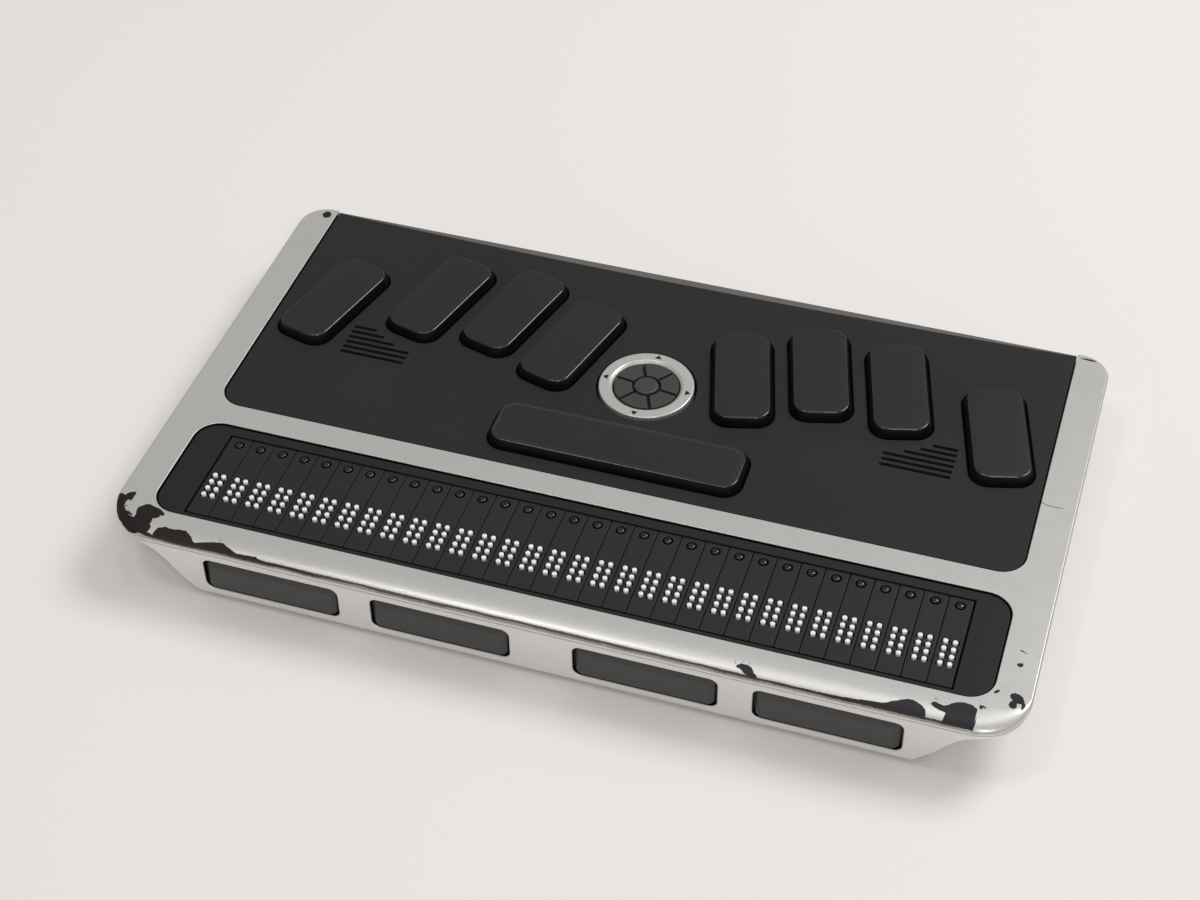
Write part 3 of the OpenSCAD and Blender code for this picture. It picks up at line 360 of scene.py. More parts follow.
# Near-black finish for the printed marks on the arrow ring, also used as painted shade on walls inside gaps and
# grooves.
BLACK_MARK_AND_GAP_SHADE = moulded("black_mark_and_gap_shade", (0.007, 0.007, 0.007), 0.10, 0.5, shine=0.2).material
WHEEL_BLACK = moulded("wheel_black", (0.044, 0.043, 0.0415), 0.12, 0.42, 1200.0, 0.00001, shine=0.4).material
GREY_THUMB = moulded("grey_thumb_key", (0.052, 0.0505, 0.0495), 0.08, 0.42, 1600.0, 0.000008).material
GREY_REAR = moulded("grey_rear", (0.118, 0.109, 0.099), 0.10, 0.5, 1200.0, 0.000012).material
RUBBER = moulded("black_rubber", (0.022, 0.022, 0.022), 0.15, 0.75, 700.0, 0.00003).material
SOCKET_BLACK = moulded("black_socket", (0.016, 0.016, 0.016), 0.12, 0.5).material
BOARD = moulded("green_board", (0.012, 0.085, 0.035), 0.25, 0.35, 500.0, 0.00002).material
WRAP = moulded("battery_wrap", (0.03, 0.08, 0.22), 0.08, 0.28).material
CELL = moulded("cell_plastic", (0.035, 0.034, 0.033), 0.10, 0.5).material
PIN = white_pin().material
STEEL = bare_metal("steel_screw", (0.50, 0.50, 0.51)).material
TIN = bare_metal("socket_metal", (0.62, 0.62, 0.63), 0.26).material
BRASS = bare_metal("reed_brass", (0.70, 0.52, 0.22), 0.34).material

# Outlines and meshes


def eased(share):
    return share * (share * (3 - 2 * share))


def dot_place(n):
    """Centre of a braille dot from the middle of its cell."""
    return DOT_COLUMN[n - 1] * DOT_PITCH / 2, DOTS_Y + (1.5 - DOT_ROW[n - 1]) * DOT_PITCH


def reed_height(n):
    """Underside of the reed below a braille dot."""
    return REED_Z + (3 - DOT_ROW[n - 1]) * REED_STEP


def arc(x, y, r, start, end, steps):
    """Points of an arc, with angles in degrees."""
    turns = [math.radians(start + (end - start) * i / steps) for i in range(steps + 1)]
    return [(x + r * math.cos(t), y + r * math.sin(t)) for t in turns]


def rounded(w, d, r, steps=8, x=0.0, y=0.0):
    """Anticlockwise outline of a rounded rectangle."""
    w, d = w / 2 - r, d / 2 - r
    corners = ((w, -d, -90), (w, d, 0), (-w, d, 90), (-w, -d, 180))
    return [(x + px, y + py) for cx, cy, a in corners for px, py in arc(cx, cy, r, a, a + 90, steps)]


def case_plan(dx, dy, steps=16):
    """The case's plan outline, drawn in by dx at the ends and by dy at the front and rear."""
    grow = max(dx - HULL_LEAN, min(dx, dy), 0.0)
    front, rear = FRONT_R - grow, REAR_R - grow
    points = []
    for sx, sy, a in ((1, -1, -90), (1, 1, 0), (-1, 1, 90), (-1, -1, 180)):
        r = front if sy < 0 else rear
        points += arc(sx * (HALF_W - dx - r), sy * (HALF_D - dy - r), r, a, a + 90, steps)
    return points


def drawn_in(points, by):
    """An anticlockwise outline moved inwards along its corners' bisectors."""
    moved = []
    for i, here in enumerate(points):
        before, after = Vector(points[i - 1]), Vector(points[(i + 1) % len(points)])
        here = Vector(here)
        first, second = (here - before).normalized(), (after - here).normalized()
        inward = Vector((-first.y - second.y, first.x + second.x)).normalized()
        share = max(inward.dot(Vector((-first.y, first.x))), 0.35)
        moved.append(tuple(here + inward * (by / share)))
    return moved


def turned(points, x, y, degrees):
    c, s = math.cos(math.radians(degrees)), math.sin(math.radians(degrees))
    return [(x + px * c - py * s, y + px * s + py * c) for px, py in points]


def at_height(points, z):
    return [(x, y, z) for x, y in points]


def skin(bm, rings):
    """Faces between rings of equal count; returns the rings' vertices."""
    rows = [[bm.verts.new(Vector(p) * MM) for p in ring] for ring in rings]
    for near, far in zip(rows, rows[1:]):
        for i in range(len(near)):
            bm.faces.new((near[i - 1], near[i], far[i], far[i - 1]))
    return rows


def cover(bm, *borders):
    """Flat faces inside the first border and outside the others."""
    edges = []
    for row in borders:
        for i, v in enumerate(row):
            pair = (row[i - 1], v)
            edges.append(bm.edges.get(pair) or bm.edges.new(pair))
    bmesh.ops.triangle_fill(bm, use_beauty=True, use_dissolve=False, edges=edges)


def plate(bm, outer, holes, top, bottom, edge=0.2, hole_edge=None, steps=3):
    """A flat plate with rounded top edges, from plain outlines."""
    edges = [edge] + (hole_edge if isinstance(hole_edge, list) else [hole_edge or edge] * len(holes))
    stacks = []
    for n, (outline, r) in enumerate(zip([outer, *holes], edges)):
        into = 1 if n == 0 else -1
        rings = [at_height(drawn_in(outline, into * r * (1 - math.cos(t))), top - r * (1 - math.sin(t)))
                 for t in (math.pi / 2 * (1 - i / steps) for i in range(steps + 1))]
        stacks.append(skin(bm, [*rings, at_height(outline, bottom)]))
    cover(bm, *[rows[0] for rows in stacks])
    cover(bm, *[rows[-1] for rows in stacks])


def lathe(bm, profile, x=0.0, y=0.0, steps=64):
    """A turned form from (radius, height) pairs, closed at both ends."""
    ring = [(math.cos(2 * math.pi * i / steps), math.sin(2 * math.pi * i / steps)) for i in range(steps)]
    rows = skin(bm, [[(x + r * c, y + r * s, z) for c, s in ring] for r, z in profile])
    for row in (rows[0], rows[-1]):
        bm.faces.new(row)


def mesh_of(name, bm, materials, smooth=32.0):
    bmesh.ops.remove_doubles(bm, verts=bm.verts, dist=1e-7)
    bmesh.ops.recalc_face_normals(bm, faces=bm.faces)
    mesh = bpy.data.meshes.new(name)
    bm.to_mesh(mesh)
    bm.free()
    for material in materials:
        mesh.materials.append(material)
    mesh.set_sharp_from_angle(angle=math.radians(smooth))
    return mesh


def shown(name, mesh):
    piece = bpy.data.objects.new(name, mesh)
    bpy.context.scene.collection.objects.link(piece)
    return piece


def dress(piece, body, slot, *nodes, weighted=True):
    """Lets a finished piece stand for its CAD nodes."""
    if weighted:
        soften = piece.modifiers.new("even_normals", "WEIGHTED_NORMAL")
        soften.keep_sharp = True
    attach(piece, body)
    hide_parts(*nodes)
    return piece


def plain_mesh(piece, name):
    """The evaluated piece as a mesh of its own; the piece is removed."""
    view = bpy.context.evaluated_depsgraph_get()
    mesh = bpy.data.meshes.new_from_object(piece.evaluated_get(view), depsgraph=view)
    mesh.name = name
    bpy.data.objects.remove(piece)
    return mesh


def carve(piece, cutter, name):
    """The piece's mesh less the cutter's."""
    cut = piece.modifiers.new("carve", "BOOLEAN")
    cut.operation, cut.object, cut.solver, cut.use_self = "DIFFERENCE", cutter, "EXACT", True
    mesh = plain_mesh(piece, name)
    bpy.data.objects.remove(cutter)
    return mesh


def row_tree():
    """Geometry Nodes: copies of a piece along a straight row."""
    tree = bpy.data.node_groups.new("row_of_pieces", "GeometryNodeTree")
    sides = tree.interface
    inputs = {}
    for label, kind in (("Geometry", "NodeSocketGeometry"), ("Piece", "NodeSocketObject"), ("Count", "NodeSocketInt"),
                        ("Start", "NodeSocketVector"), ("Step", "NodeSocketVector"), ("Finish", "NodeSocketMaterial")):
        inputs[label] = sides.new_socket(label, in_out="INPUT", socket_type=kind).identifier
    sides.new_socket("Geometry", in_out="OUTPUT", socket_type="NodeSocketGeometry")
    new, link = tree.nodes.new, tree.links.new
    source, target = new("NodeGroupInput"), new("NodeGroupOutput")
    line, info = new("GeometryNodeMeshLine"), new("GeometryNodeObjectInfo")
    copies, solid = new("GeometryNodeInstanceOnPoints"), new("GeometryNodeRealizeInstances")
    paint = new("GeometryNodeSetMaterial")
    line.mode = "OFFSET"
    link(source.outputs["Count"], line.inputs["Count"])
    link(source.outputs["Start"], line.inputs["Start Location"])
    link(source.outputs["Step"], line.inputs["Offset"])
    link(source.outputs["Piece"], info.inputs["Object"])
    link(line.outputs["Mesh"], copies.inputs["Points"])
    link(info.outputs["Geometry"], copies.inputs["Instance"])
    link(copies.outputs["Instances"], solid.inputs["Geometry"])
    link(solid.outputs["Geometry"], paint.inputs["Geometry"])
    link(source.outputs["Finish"], paint.inputs["Material"])
    link(paint.outputs["Geometry"], target.inputs["Geometry"])
    return tree, inputs


ROW, ROW_INPUTS = row_tree()


def row_of(name, piece, count, start, step, finish):
    """A plain mesh with copies of a piece in a row."""
    holder = shown(name, bpy.data.meshes.new(name))
    spread = holder.modifiers.new("row", "NODES")
    spread.node_group = ROW
    for label, value in (("Piece", piece), ("Count", count), ("Start", Vector(start) * MM),
                         ("Step", Vector(step) * MM), ("Finish", finish)):
        spread[ROW_INPUTS[label]] = value
    return shown(name, plain_mesh(holder, name))


# Case


def build_top_frame():
    lip, ease = 0.2, 0.3
    edge_r, front_away, front_fall = 0.55, 6.65, 1.75
    rear_ease = 1.5
    half = OPEN_W / 2
    front, rear = FRONT_R, REAR_R
    outer_right = (arc(HALF_W - front, -HALF_D + front, front, -90, 0, 20)
                   + arc(HALF_W - rear, HALF_D - rear, rear, 0, 90, 14))
    inner = (arc(half - OPENING_R, KEYBOARD_FRONT + OPENING_R, OPENING_R, 0, -90, 12)
             + arc(-half + OPENING_R, KEYBOARD_FRONT + OPENING_R, OPENING_R, -90, -180, 12))
    outer_left = (arc(-HALF_W + rear, HALF_D - rear, rear, 90, 180, 14)
                  + arc(-HALF_W + front, -HALF_D + front, front, 180, 270, 20))

    def roll(toward, t):
        """How far the rolled edge draws in and falls: broad at the front, tight at the ends and the rear."""
        share = eased(max(-toward, 0.0))
        return (edge_r + front_away * share) * (1 - math.cos(t)), (edge_r + front_fall * share) * (1 - math.sin(t))

    def ring(t, low=0.0):
        """One ring of the border: t turns from the top face (a right angle) to the wall (0)."""
        away, fall = roll(1.0, t)
        away += low
        lip_away, lip_fall = lip * (1 - math.cos(t)) + low, lip * (1 - math.sin(t))
        points = []

        def outer(pairs, r):
            for x, y in pairs:
                cx = math.copysign(HALF_W - r, x)
                cy = math.copysign(HALF_D - r, y)
                direction = Vector((x - cx, y - cy)).normalized()
                inward, drop = roll(direction.y, t)
                points.append((*(Vector((x, y)) - direction * (inward + low)), TOP_Z - drop))

        outer(outer_right[:21], front)
        outer(outer_right[21:], rear)
        points.append((half + lip_away, HALF_D - away, TOP_Z - fall))
        points.append((half + lip_away, HALF_D - away - rear_ease, TOP_Z - lip_fall))
        for x, y in inner:
            cx, cy = math.copysign(half - OPENING_R, x), KEYBOARD_FRONT + OPENING_R
            direction = Vector((x - cx, y - cy)).normalized()
            points.append((x + direction.x * lip_away, y + direction.y * lip_away, TOP_Z - lip_fall))
        points.append((-half - lip_away, HALF_D - away - rear_ease, TOP_Z - lip_fall))
        points.append((-half - lip_away, HALF_D - away, TOP_Z - fall))
        outer(outer_left[:15], rear)
        outer(outer_left[15:], front)
        return points

    def flat(z, low):
        return [(x, y, z) for x, y, _ in ring(0.0, low)]

    bm = bmesh.new()
    turns = [math.pi / 2 * (1 - i / 8) for i in range(9)]
    border = skin(bm, [*[ring(t) for t in turns], flat(SEAM_Z + ease, 0.0), flat(SEAM_Z, ease)])
    window = rounded(OPEN_W, DISPLAY_D, OPENING_R, 12, y=DISPLAY_Y)
    rings = [at_height(drawn_in(window, -lip * (1 - math.cos(t))), TOP_Z - lip * (1 - math.sin(t))) for t in turns[::2]]
    display = skin(bm, [*rings, at_height(window, SEAM_Z)])
    cover(bm, border[0], display[0])
    cover(bm, border[-1], display[-1])
    bmesh.ops.bisect_plane(bm, geom=[*bm.verts, *bm.edges, *bm.faces], plane_co=(0, 0, 0), plane_no=(1, 0, 0))
    for face in bm.faces:
        x, y, z = face.calc_center_median() / MM
        # The inner walls of both openings below the lip take the near-black finish: painted shade in the gaps round the
        # panels.
        walls = abs(x) < half + 0.5 and DISPLAY_FRONT - 0.2 < y < HALF_D - 2.5 and z < TOP_Z - lip
        face.material_index = 2 if walls else int(x > 0)
    return dress(shown("painted_frame", mesh_of("painted_frame", bm, [*SILVER_WORN, BLACK_MARK_AND_GAP_SHADE], 50.0)), "case",
                 "silver_paint", "top_frame")


def box_rings(low, high):
    (x0, y0, z0), (x1, y1, z1) = low, high
    plan = [(x0, y0), (x1, y0), (x1, y1), (x0, y1)]
    return [at_height(plan, z1), at_height(plan, z0)]


def closed(bm, rings):
    """A skin with both ends covered."""
    rows = skin(bm, rings)
    cover(bm, rows[0])
    cover(bm, rows[-1])


# Half length of the hull's front face at each height, and where its slanted ends meet the sides
HULL_END = [(15.5, 109.5), (11.0, 104.4), (8.2, 102.3), (6.0, 100.5), (3.5, 97.8), (2.2, 96.3), (1.2, 95.0)]
HULL_SIDE_Y = -54.0


def hull_plan(dx, dy, z, back=0.0):
    """The case's plan with front corners that are cut off along a crease below the rim."""
    points = case_plan(dx, dy)
    if z >= HULL_END[0][0]:
        return points
    (z1, x1), (z0, x0) = next(pair for pair in zip(HULL_END, HULL_END[1:]) if z >= pair[1][0] - 0.001)
    near = Vector((x0 + (x1 - x0) * (z - z0) / (z1 - z0) - back, dy - HALF_D))
    far = Vector((HALF_W - dx, HULL_SIDE_Y))
    bend = Vector((near.x + 0.78 * (far.x - near.x), near.y + 8.3))
    share = eased(min(max((z - CREASE_Z) / (HULL_TOP - CREASE_Z), 0.0), 1.0))
    for i in range(17):
        t = i / 16
        cut = near * (1 - t) ** 2 + bend * (2 * t * (1 - t)) + far * t ** 2
        x, y = cut.lerp(Vector(points[i]), share)
        points[i], points[-1 - i] = (x, y), (-x, y)
    return points


def build_lower_shell():
    bm = bmesh.new()
    inset, wall = 0.5, 1.8
    rim = [(0.35, 0.35, SEAM_Z), (0.1, 0.1, SEAM_Z - 0.1), (0.0, 0.0, SEAM_Z - 0.35)]
    groove = [(0.0, 0.0, 16.66), (0.08, 0.08, 16.58), (0.5, 0.5, 16.53), (0.5, 0.5, 16.25), (0.05, 0.08, 16.18),
              (0.0, 0.0, 16.1)]
    levels = [(inset + dx, inset + dy, z) for dx, dy, z in rim + groove]
    for i in range(15):
        t = i / 14
        levels.append((inset + (HULL_LEAN - inset) * t, inset, HULL_TOP + (HULL_LOW - HULL_TOP) * t))
    for i in range(1, 6):
        t = math.pi / 2 * i / 5
        levels.append((HULL_LEAN + (1 - math.cos(t)), inset + (1 - math.cos(t)), HULL_LOW - math.sin(t)))
    outside = skin(bm, [at_height(hull_plan(*level), level[2]) for level in levels])
    inside = skin(bm, [at_height(hull_plan(dx + wall, inset + wall, z, 2.4), z) for dx, z in (
        (inset, SEAM_Z), (inset, 15.8), (5.7, CREASE_Z), (HULL_LEAN, 3.0))])
    cover(bm, outside[-1])
    cover(bm, inside[-1])
    for i in range(len(outside[0])):
        bm.faces.new((outside[0][i - 1], outside[0][i], inside[0][i], inside[0][i - 1]))
    shell = shown("shell_blank", mesh_of("shell_blank", bm, [SILVER_HULL_LIT, BLACK_MARK_AND_GAP_SHADE]))
    bm = bmesh.new()
    for x in THUMB_X.values():
        rings = []
        for grow, y in ((0.4, -70.6), (0.4, -69.99), (0.2, -69.94), (0.06, -69.8), (0.0, -69.6), (0.0, -67.0)):
            outline = rounded(THUMB_W + 2 * (THUMB_GAP + grow), THUMB_H + 2 * (THUMB_GAP + grow),
                              THUMB_R + THUMB_GAP + grow, 6, x, THUMB_Z)
            rings.append([(px, y, pz) for px, pz in outline])
        closed(bm, rings)
    # The window walls behind the hull's face take the near-black finish: painted shade in the gap round each thumb key.
    for face in bm.faces:
        face.material_index = int(face.calc_center_median().y > -69.65 * MM)
    rear_opening = (-104, 67, 4.7), (104, 72, 21)
    battery_bay = (-47.5, 16.6, 0), (47.5, 63, 2.1)
    for low, high in (rear_opening, battery_bay):
        closed(bm, box_rings(low, high))

    def well(x, y, r, top):
        """A round recess in the underside."""
        closed(bm, [at_height(arc(x, y, r, 0, 352.5, 47), z) for z in (top, 0.0)])

    for sx in (-1, 1):
        for sy in (-1, 1):
            well(sx * FOOT_X, sy * FOOT_Y, 5.6, 1.7)
        for x, y in SCREWS:
            well(sx * x, y, 2.4, 2.65)
    cutter = shown("shell_cutter", mesh_of("shell_cutter", bm, [SILVER_HULL_LIT, BLACK_MARK_AND_GAP_SHADE]))
    mesh = carve(shell, cutter, "lower_shell_painted")
    mesh.set_sharp_from_angle(angle=math.radians(31))
    return dress(shown("lower_hull", mesh), "case", "silver_paint", "lower_shell")


def bow(x):
    """Depth of the keyboard panel's rear edge at x."""
    return SHELL_REAR - 0.5 - REAR_BOW * (1 - (x / (OPEN_W / 2 - FIT)) ** 2)


def build_keyboard_panel():
    half = OPEN_W / 2 - FIT - DARK_GAP
    r = OPENING_R - FIT - DARK_GAP
    y0 = KEYBOARD_FRONT + FIT + DARK_GAP
    edge = [half * i / 24 for i in range(24, -25, -1)]
    outline = (arc(-half + r, y0 + r, r, 180, 270, 12) + arc(half - r, y0 + r, r, -90, 0, 12)
               + [(x, bow(x)) for x in edge])
    holes = [turned(rounded(KEY_W + 2 * KEY_GAP, KEY_L + 2 * KEY_GAP, KEY_R + KEY_GAP, 10), *seat)
             for seat in KEY_SEATS.values()]
    holes.append(rounded(SPACE_W + 2 * KEY_GAP, SPACE_D + 2 * KEY_GAP, KEY_R + KEY_GAP, 10, y=SPACE_Y))
    holes.append(arc(0, DIAL_Y, DIAL_HOLE_R, 0, 355, 71))
    moving = len(holes)
    for i, length in enumerate(SLOT_LENGTHS):
        for side in (-1, 1):
            holes.append(rounded(length + 0.1, SLOT_H + 0.1, SLOT_H / 2 + 0.04, 5, side * (SLOT_OUTER - length / 2),
                                 SLOT_REAR - i * SLOT_STEP))
    bm = bmesh.new()
    plate(bm, outline, holes, PANEL_Z, SEAM_Z, 0.25, [0.28] * moving + [0.12] * (len(holes) - moving))
    return dress(shown("keyboard_deck", mesh_of("keyboard_deck", bm, [BLACK_PANEL], 50.0)), "case", "black_panel",
                 "keyboard_panel")


def build_display_panel():
    gap, front = FIT + DARK_GAP, 0.7
    outline = rounded(OPEN_W - 2 * gap, DISPLAY_D - 2 * gap, OPENING_R - gap, 12, y=DISPLAY_Y)
    hole = rounded(CELLS * CELL_PITCH + 2 * gap, CAP_L + FIT + front, 0.3, 3, y=CAP_FRONT + (CAP_L + FIT - front) / 2)
    bm = bmesh.new()
    plate(bm, outline, [hole], BORDER_Z, 16.0, 0.3, 0.2)
    return dress(shown("display_border", mesh_of("display_border", bm, [BLACK_BORDER], 50.0)), "case", "black_panel",
                 "display_panel")


def build_cell_caps():
    outline = rounded(CELL_PITCH - 0.2, CAP_L, 0.25, 3, y=CAP_FRONT + CAP_L / 2)
    holes = [arc(*dot_place(n), PIN_HOLE_R, 0, 337.5, 15) for n in range(1, 9)]
    holes.append(arc(0, ROUTING_Y, ROUTING_HOLE_R, 0, 345, 23))
    bm = bmesh.new()
    plate(bm, outline, holes, CAP_Z, CAP_Z - CAP_T, 0.14, 0.1, 2)
    cap = shown("cap_pattern", mesh_of("cap_pattern", bm, [BLACK_CAP], 50.0))
    caps = row_of("braille_cell_caps", cap, CELLS, (FIRST_CELL, 0, 0), (CELL_PITCH, 0, 0), BLACK_CAP)
    bpy.data.objects.remove(cap)
    return dress(caps, "case", "black_panel", "cell_caps")


def build_pins():
    for n in range(1, 9):
        profile = [(0.67, reed_height(n) + 0.6), (0.67, 19.53), (0.655, 19.59), (0.61, 19.64), (0.53, 19.665),
                   (0.3, 19.675), (0.1, 19.68)]
        bm = bmesh.new()
        lathe(bm, profile, steps=14)
        pin = shown("pin_pattern", mesh_of("pin_pattern", bm, [PIN], 60.0))
        x, y = dot_place(n)
        pins = row_of(f"braille_pins_{n}", pin, CELLS, (FIRST_CELL + x, y, 0), (CELL_PITCH, 0, 0), PIN)
        bpy.data.objects.remove(pin)
        dress(pins, f"pins_dot_{n}", "white_pin", f"pins_dot_{n}")


def build_routing_buttons():
    profile = [(1.9, 14.4), (1.9, 15.35), (1.08, 15.4), (1.08, 19.1), (1.0, 19.28), (0.83, 19.41), (0.56, 19.5),
               (0.26, 19.56), (0.07, 19.57)]
    bm = bmesh.new()
    lathe(bm, profile, steps=20)
    button = shown("routing_pattern", mesh_of("routing_pattern", bm, [BLACK_GLOSS], 60.0))
    for group in range(4):
        name = f"routing_buttons_{group + 1}"
        start = (FIRST_CELL + group * 8 * CELL_PITCH, ROUTING_Y, 0)
        dress(row_of(f"cursor_{name}", button, 8, start, (CELL_PITCH, 0, 0), BLACK_GLOSS), name, "black_key", name)
    bpy.data.objects.remove(button)


def key_rings(w, d, x, y, turn, crown):
    """Rings of a key: hidden flange, drafted walls, a rounded top edge and a faintly crowned top."""
    draft, shoulder, fillet = 1.0, 21.95, 0.32
    steps = [(-1.2, 16.25), (-1.2, 17.25), (0.0, 17.3), (0.0, 19.8), (draft, shoulder)]
    for i in range(1, 6):
        t = math.pi / 2 * i / 5
        steps.append((draft + 0.1 * i / 5 + fillet * (1 - math.cos(t)),
                      shoulder + (KEY_TOP - crown - shoulder) * math.sin(t)))
    edge = steps[-1][0]
    for i in range(1, 5):
        share = i / 4
        steps.append((edge + 3.2 * share, KEY_TOP - crown * (1 - share) ** 2))
    return [at_height(turned(rounded(w - 2 * s, d - 2 * s, max(KEY_R - 0.8 * s, 0.6), 10), x, y, turn), z)
            for s, z in steps]


def key_mesh(name, rings):
    """A key with a satin top, a glossy rounded edge and walls with painted shade in a much darker copy of its black."""
    bm = bmesh.new()
    closed(bm, rings)
    for face in bm.faces:
        height = face.calc_center_median().z
        face.material_index = (height < 22.25 * MM) + (height < 21.97 * MM)
    return mesh_of(name, bm, [BLACK_KEY, KEY_EDGE, KEY_WALL_SHADE], 50.0)


def build_keys():
    for n, (x, y, turn) in KEY_SEATS.items():
        name = f"dot_key_{n}"
        mesh = key_mesh(name, key_rings(KEY_W, KEY_L, x, y, turn, 0.12))
        dress(shown(f"braille_key_{n}", mesh), name, "black_key", name)
    mesh = key_mesh("space_key", key_rings(SPACE_W, SPACE_D, 0, SPACE_Y, 0, 0.25))
    dress(shown("space_key", mesh), "space_bar", "black_key", "space_bar")


def build_thumb_keys():
    for n, x in THUMB_X.items():
        rings = []
        for side, top, bottom, y in ((-1.0, -0.6, -0.6, -66.95), (-1.0, -0.6, -0.6, -67.85), (0.35, 0.45, 0.15, -67.9),
                                     (0.35, 0.45, 0.15, -68.9), (0.45, 0.55, 0.25, -69.1), (0.65, 0.75, 0.4, -69.25),
                                     (1.5, 2.2, 0.7, -69.8), (1.65, 2.4, 0.9, -69.87), (3.0, 3.4, 2.2, -69.9)):
            outline = rounded(THUMB_W - 2 * side, THUMB_H - top - bottom, max(THUMB_R - side * 0.7, 0.6), 6, x,
                              THUMB_Z + (bottom - top) / 2)
            lean = THUMB_LEAN if side > 0 else 0.0
            rings.append([(px, y + lean * (pz - THUMB_Z), pz) for px, pz in outline])
        bm = bmesh.new()
        closed(bm, rings)
        count = len(rings[0])
        for face in list(bm.faces)[6 * count:7 * count]:
            face.material_index = 1
        name = f"thumb_key_{n}"
        dress(shown(f"front_key_{n}", mesh_of(name, bm, [GREY_THUMB, KEY_EDGE], 25.0)), name, "grey_thumb_key", name)


def build_dial():
    bm = bmesh.new()
    profile = [(9.5, 16.8), (9.5, 19.55), (9.62, 19.72), (10.25, 20.18), (10.42, 20.27), (10.6, 20.3), (12.95, 20.3),
               (13.17, 20.25), (13.32, 20.12), (13.38, 19.9), (13.38, 16.8)]
    steps = 96
    ring = [(math.cos(2 * math.pi * i / steps), math.sin(2 * math.pi * i / steps)) for i in range(steps)]
    rows = skin(bm, [[(r * c, DIAL_Y + r * s, z) for c, s in ring] for r, z in profile])
    for i in range(steps):
        bm.faces.new((rows[-1][i - 1], rows[-1][i], rows[0][i], rows[0][i - 1]))
    painted = len(bm.faces)
    for turn in (0, 90, 180, 270):
        mark = turned([(12.75, 0), (11.25, 1.0), (11.25, -1.0)], 0, DIAL_Y, turn)
        closed(bm, [at_height(mark, 20.32), at_height(mark, 20.2)])
    bm.faces.ensure_lookup_table()
    for face in list(bm.faces)[painted:]:
        face.material_index = 1
    dress(shown("arrow_pad_ring", mesh_of("arrow_pad_ring", bm, [SILVER, BLACK_MARK_AND_GAP_SHADE], 40.0)), "arrow_ring",
          "silver_ring", "arrow_ring")

    bm = bmesh.new()
    hub_r = 4.1
    profile = [(WHEEL_R, 16.85), (WHEEL_R, 19.1), (9.0, 19.2), (hub_r, 19.2), (4.05, 19.05), (4.05, 16.85)]
    lathe(bm, profile, 0, DIAL_Y, 72)
    # The wheel's base takes the near-black finish: painted shade in the grooves between the segments and round the
    # wheel.
    for face in bm.faces:
        face.material_index = 1
    segments, half_turn, first_turn, gap = 6, 30, 22, 0.42
    outer, inner = math.degrees(gap / WHEEL_R), math.degrees(gap / 4.15)
    for i in range(segments):
        start = first_turn + 2 * half_turn * i - half_turn
        end = start + 2 * half_turn
        outline = (arc(0, DIAL_Y, WHEEL_R, start + outer, end - outer, 14)
                   + arc(0, DIAL_Y, hub_r, end - inner, start + inner, 8))
        plate(bm, outline, [], 20.0, 19.15, 0.22)
    dress(shown("wheel_segments", mesh_of("wheel_segments", bm, [WHEEL_BLACK, BLACK_MARK_AND_GAP_SHADE], 50.0)), "scroll_wheel",
          "black_key", "scroll_wheel")

    bm = bmesh.new()
    lathe(bm, [(3.4, 15.6), (3.4, 19.85), (3.33, 20.02), (3.15, 20.12), (2.6, 20.18), (1.6, 20.22), (0.6, 20.24),
               (0.05, 20.245)], 0, DIAL_Y, 48)
    dress(shown("select_disc", mesh_of("select_disc", bm, [WHEEL_BLACK], 50.0)), "select_button", "black_key",
          "select_button")


def build_rear_cover():
    bm = bmesh.new()
    half = OPEN_W / 2 - FIT
    xs = [half * i / 24 for i in range(24, -25, -1)]
    outline = [(x, SHELL_REAR) for x in xs] + [(x, bow(x) + 0.1) for x in reversed(xs)]
    plate(bm, outline, [], BORDER_Z, SEAM_Z - 0.02, 0.12)
    # Each port's middle, width, underside and height
    ports = [(66, 8, 5.8, 4), (78, 8, 5.8, 4), (90, 6.4, 5.8, 6.4), (54, 6.4, 5.8, 6.4), (-78, 26, 5.8, 3.4),
             (-38, 9, 12.2, 2.6)]

    def upright(outline, y):
        return [(x, y, z) for x, z in outline]

    wall = rounded(207.6, 12.5, 0.4, 3, 0, 11.15)
    openings = [rounded(w + 2 * FIT, h + 2 * FIT, 0.45, 4, x, z + h / 2) for x, w, z, h in ports]
    edge, wall_t = 0.22, 1.8
    stacks = []
    for n, line in enumerate([wall, *openings]):
        into = 1 if n == 0 else -1
        rings = [upright(drawn_in(line, into * edge * (1 - math.cos(t))), SHELL_REAR - edge * (1 - math.sin(t)))
                 for t in (math.pi / 2, math.pi / 4, 0.0)]
        stacks.append(skin(bm, [*rings, upright(line, SHELL_REAR - wall_t)]))
    cover(bm, *[rows[0] for rows in stacks])
    cover(bm, *[rows[-1] for rows in stacks])
    dress(shown("rear_wall", mesh_of("rear_wall", bm, [GREY_REAR], 50.0)), "case", "grey_rear", "rear_cover")


def build_feet():
    profile = [(0.1, 0.12), (3.6, 0.1), (4.2, 0.02), (4.7, 0.0), (5.1, 0.1), (5.4, 0.35), (5.5, 0.7), (5.5, 1.7)]
    bm = bmesh.new()
    for sx in (-1, 1):
        for sy in (-1, 1):
            lathe(bm, profile, sx * FOOT_X, sy * FOOT_Y, 48)
    dress(shown("foot_pads", mesh_of("foot_pads", bm, [RUBBER], 50.0)), "case", "black_rubber", "rubber_feet")


# Soft pieces inside


